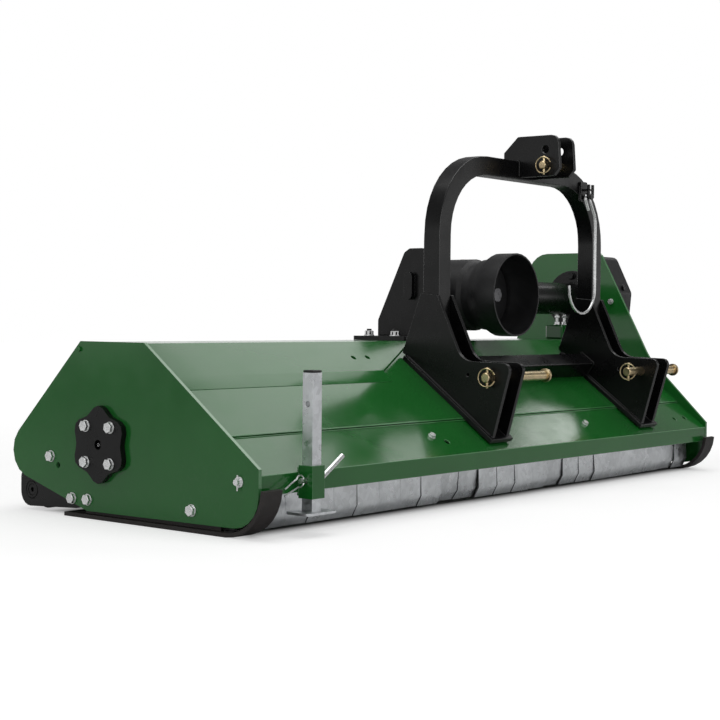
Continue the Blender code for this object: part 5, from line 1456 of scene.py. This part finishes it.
@dataclass
class RollerSet(Assembly):
    """The rear roller, its brackets, and the rear door."""

    bracket_face: float = 0.8915
    boss_r: float = 0.0180
    centre_x: float = 0.8910
    centre_r: float = 0.0045
    disc_x: float = 0.8522
    stub_r: float = 0.0125

    def build(self) -> None:
        """Dress the roller, brackets and door."""
        for side, way, name in SIDES:
            boss = at(side * self.bracket_face, AXLE_Y, AXLE_Z)
            groove = ring_cutter(boss, (0, math.pi / 2, 0), self.boss_r, 0.0016, 10)
            dress("roller_bracket_" + name, self.palette.black, 0.0010,
                  cuts=[groove, head_cut(side, *PIVOT_BOLT)])
        centre = [drill(self.centre_r, 0.006, at(side * self.centre_x, AXLE_Y, AXLE_Z), Way.RIGHT)
                  for side in (-1, 1)]
        dress("rear_roller", self.palette.black, 0.0010, cuts=centre)
        self.weld_roller()
        dress("rear_door", self.palette.green, 0.0010, edge=self.palette.green_edge_highlight)
        dress("door_hinge_rod", self.palette.green, 0.0003)

    def weld_roller(self) -> None:
        """Lay the bead round each end disc of the roller."""
        lines = []
        for side in (-1, 1):
            centre = at(side * self.disc_x, AXLE_Y, AXLE_Z)
            ring = round_places(centre, self.stub_r, 12, Way.BACK, True)
            lines += list(zip(ring, ring[1:]))
        self.black(Weld(radius=0.0020).beads(lines, "roller_welds"), "roller")


@dataclass(frozen=True)
class Lamp:
    """One soft rectangular lamp."""

    name: str
    place: Triple
    target: Triple
    size: Pair
    power: float

    def hang(self) -> None:
        """Hang it so that it faces its target."""
        data = bpy.data.lights.new(self.name, "AREA")
        data.shape = "RECTANGLE"
        data.size, data.size_y = self.size
        data.energy = self.power
        lamp = bpy.data.objects.new(self.name, data)
        bpy.context.scene.collection.objects.link(lamp)
        lamp.location = self.place
        ahead = Vector(self.target) - Vector(self.place)
        lamp.rotation_euler = ahead.to_track_quat("-Z", "Y").to_euler()


MIDDLE = (0.0, 0.0, 0.3)
# The cards make the light patches that the photograph shows on the hood's front slope.
LAMPS = (Lamp("top_softbox", (-0.2, -0.2, 3.6), MIDDLE, (4.2, 2.6), 62.0),
         Lamp("left_softbox", (-4.2, 0.4, 1.9), MIDDLE, (2.2, 2.0), 20.0),
         Lamp("front_softbox", (-1.6, -4.2, 1.9), MIDDLE, (3.0, 1.6), 22.0),
         Lamp("slope_card", (2.7, 0.30, 3.05), (-0.5, -0.3, 0.25), (2.85, 1.35), 17.0),
         Lamp("window_card", (3.514, 0.025, 2.178), (1.279, -0.394, 0.222), (0.34, 0.42), 1.1))


@dataclass
class Studio:
    """The floor, soft lights and camera."""

    eye: Triple = (-2.886, -2.262, 0.405)
    yaw: float = 51.01
    pitch: float = -1.59
    roll: float = 0.57
    focal_px: float = 1500.0
    frame_px: float = 720.0
    sensor: float = 36.0
    wall_top: float = 0.10
    wall_glow: float = 0.95
    ceiling_glow: float = 0.22
    fill_glow: float = 0.30
    floor_grey: float = 0.62
    pale_reach: Pair = (1.2, 4.5)
    pale_glow: Pair = (0.52, 0.84)
    dark_half: Pair = (0.86, 0.24)
    dark_blur: float = 0.06

    def camera(self) -> None:
        """Set the camera at the photograph's place and angle."""
        yaw, pitch, roll = (math.radians(a) for a in (self.yaw, self.pitch, self.roll))
        ahead = Vector((math.sin(yaw) * math.cos(pitch), math.cos(yaw) * math.cos(pitch),
                        math.sin(pitch)))
        right = Vector((math.cos(yaw), -math.sin(yaw), 0.0))
        upward = right.cross(ahead)
        side = right * math.cos(roll) + upward * math.sin(roll)
        top = upward * math.cos(roll) - right * math.sin(roll)
        data = bpy.data.cameras.new("photo_camera")
        data.sensor_width = self.sensor
        data.lens = self.focal_px / self.frame_px * self.sensor
        data.clip_end = 60.0
        eye = bpy.data.objects.new("photo_camera", data)
        bpy.context.scene.collection.objects.link(eye)
        turn = Matrix((side, top, -ahead)).transposed().to_4x4()
        eye.matrix_world = Matrix.Translation(at(*self.eye)) @ turn
        bpy.context.scene.camera = eye

    def world(self) -> None:
        """Make the surroundings white to the camera, and a studio wall in reflections.

        Reflections see a bright band at the horizon with a dim band above it, and the light
        that falls on the machine stays low and even.
        """
        world = bpy.data.worlds.new("studio")
        bpy.context.scene.world = world
        world.use_nodes = True
        tree = Tree(world.node_tree)
        back = world.node_tree.nodes["Background"]
        path = tree.add("ShaderNodeLightPath")
        seen = tree.maths("MAXIMUM", path.outputs["Is Camera Ray"],
                          path.outputs["Is Transmission Ray"])
        around = tree.add("ShaderNodeTexCoord").outputs["Generated"]
        parts = tree.add("ShaderNodeSeparateXYZ", Vector=around)
        wall = tree.span(parts.outputs["Z"], self.wall_top, self.wall_top + 0.15, self.wall_glow,
                         self.ceiling_glow)
        glossy = tree.maths("MULTIPLY", path.outputs["Is Glossy Ray"], wall)
        rest = tree.maths("SUBTRACT", 1.0, path.outputs["Is Glossy Ray"])
        fill = tree.maths("MULTIPLY", rest, self.fill_glow)
        strength = tree.maths("MAXIMUM", seen, tree.maths("MAXIMUM", glossy, fill))
        tree.feed(back, Color=(1.0, 1.0, 1.0, 1.0), Strength=strength)

    def floor(self) -> None:
        """Lay the pale floor, which keeps the machine's shadow.

        It glows a little to the camera, but not beneath the machine.
        """
        deselect()
        bpy.ops.mesh.primitive_plane_add(size=30.0, location=(0, 0, -0.0005))
        floor = bpy.context.object
        floor.name = "floor"
        settle(floor)
        made = bpy.data.materials.new("pale_floor")
        made.use_nodes = True
        tree = Tree(made.node_tree)
        shader = made.node_tree.nodes["Principled BSDF"]
        path = tree.add("ShaderNodeLightPath")
        where = tree.add("ShaderNodeTexCoord").outputs["Object"]
        reach = tree.add("ShaderNodeVectorMath", operation="LENGTH", Vector=where)
        pale = tree.span(reach.outputs["Value"], *self.pale_reach, *self.pale_glow)
        apart = tree.add("ShaderNodeVectorMath", operation="ABSOLUTE", Vector=where)
        sides = tree.add("ShaderNodeSeparateXYZ", Vector=apart.outputs["Vector"])
        past_end = tree.maths("SUBTRACT", sides.outputs["X"], self.dark_half[0])
        past_row = tree.maths("SUBTRACT", sides.outputs["Y"], self.dark_half[1])
        outside = tree.span(tree.maths("MAXIMUM", past_end, past_row), 0.0, self.dark_blur)
        lit = tree.maths("MULTIPLY", outside, pale)
        glow = tree.maths("MULTIPLY", path.outputs["Is Camera Ray"], lit)
        tree.feed(shader, Base_Color=(*[self.floor_grey] * 3, 1.0), Roughness=0.9,
                  Specular_IOR_Level=0.1, Emission_Color=(1.0, 1.0, 1.0, 1.0),
                  Emission_Strength=glow)
        wear(floor, made)

    def build(self) -> None:
        """Set up the floor, lights and camera."""
        bpy.context.scene.view_settings.view_transform = "Standard"
        self.world()
        self.floor()
        for lamp in LAMPS:
            lamp.hang()
        self.camera()


def main() -> None:
    """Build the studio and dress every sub-assembly."""
    logging.basicConfig(level=logging.INFO, format="%(message)s")
    random.seed(11)
    Studio().build()
    palette = Palette()
    for kind in (Shell, FlapCurtain, Drive, Rotor, Linkage, ParkingStand, RollerSet):
        kind(palette).build()
        LOG.info("%s is built", kind.__name__)


if __name__ == "__main__":
    main()
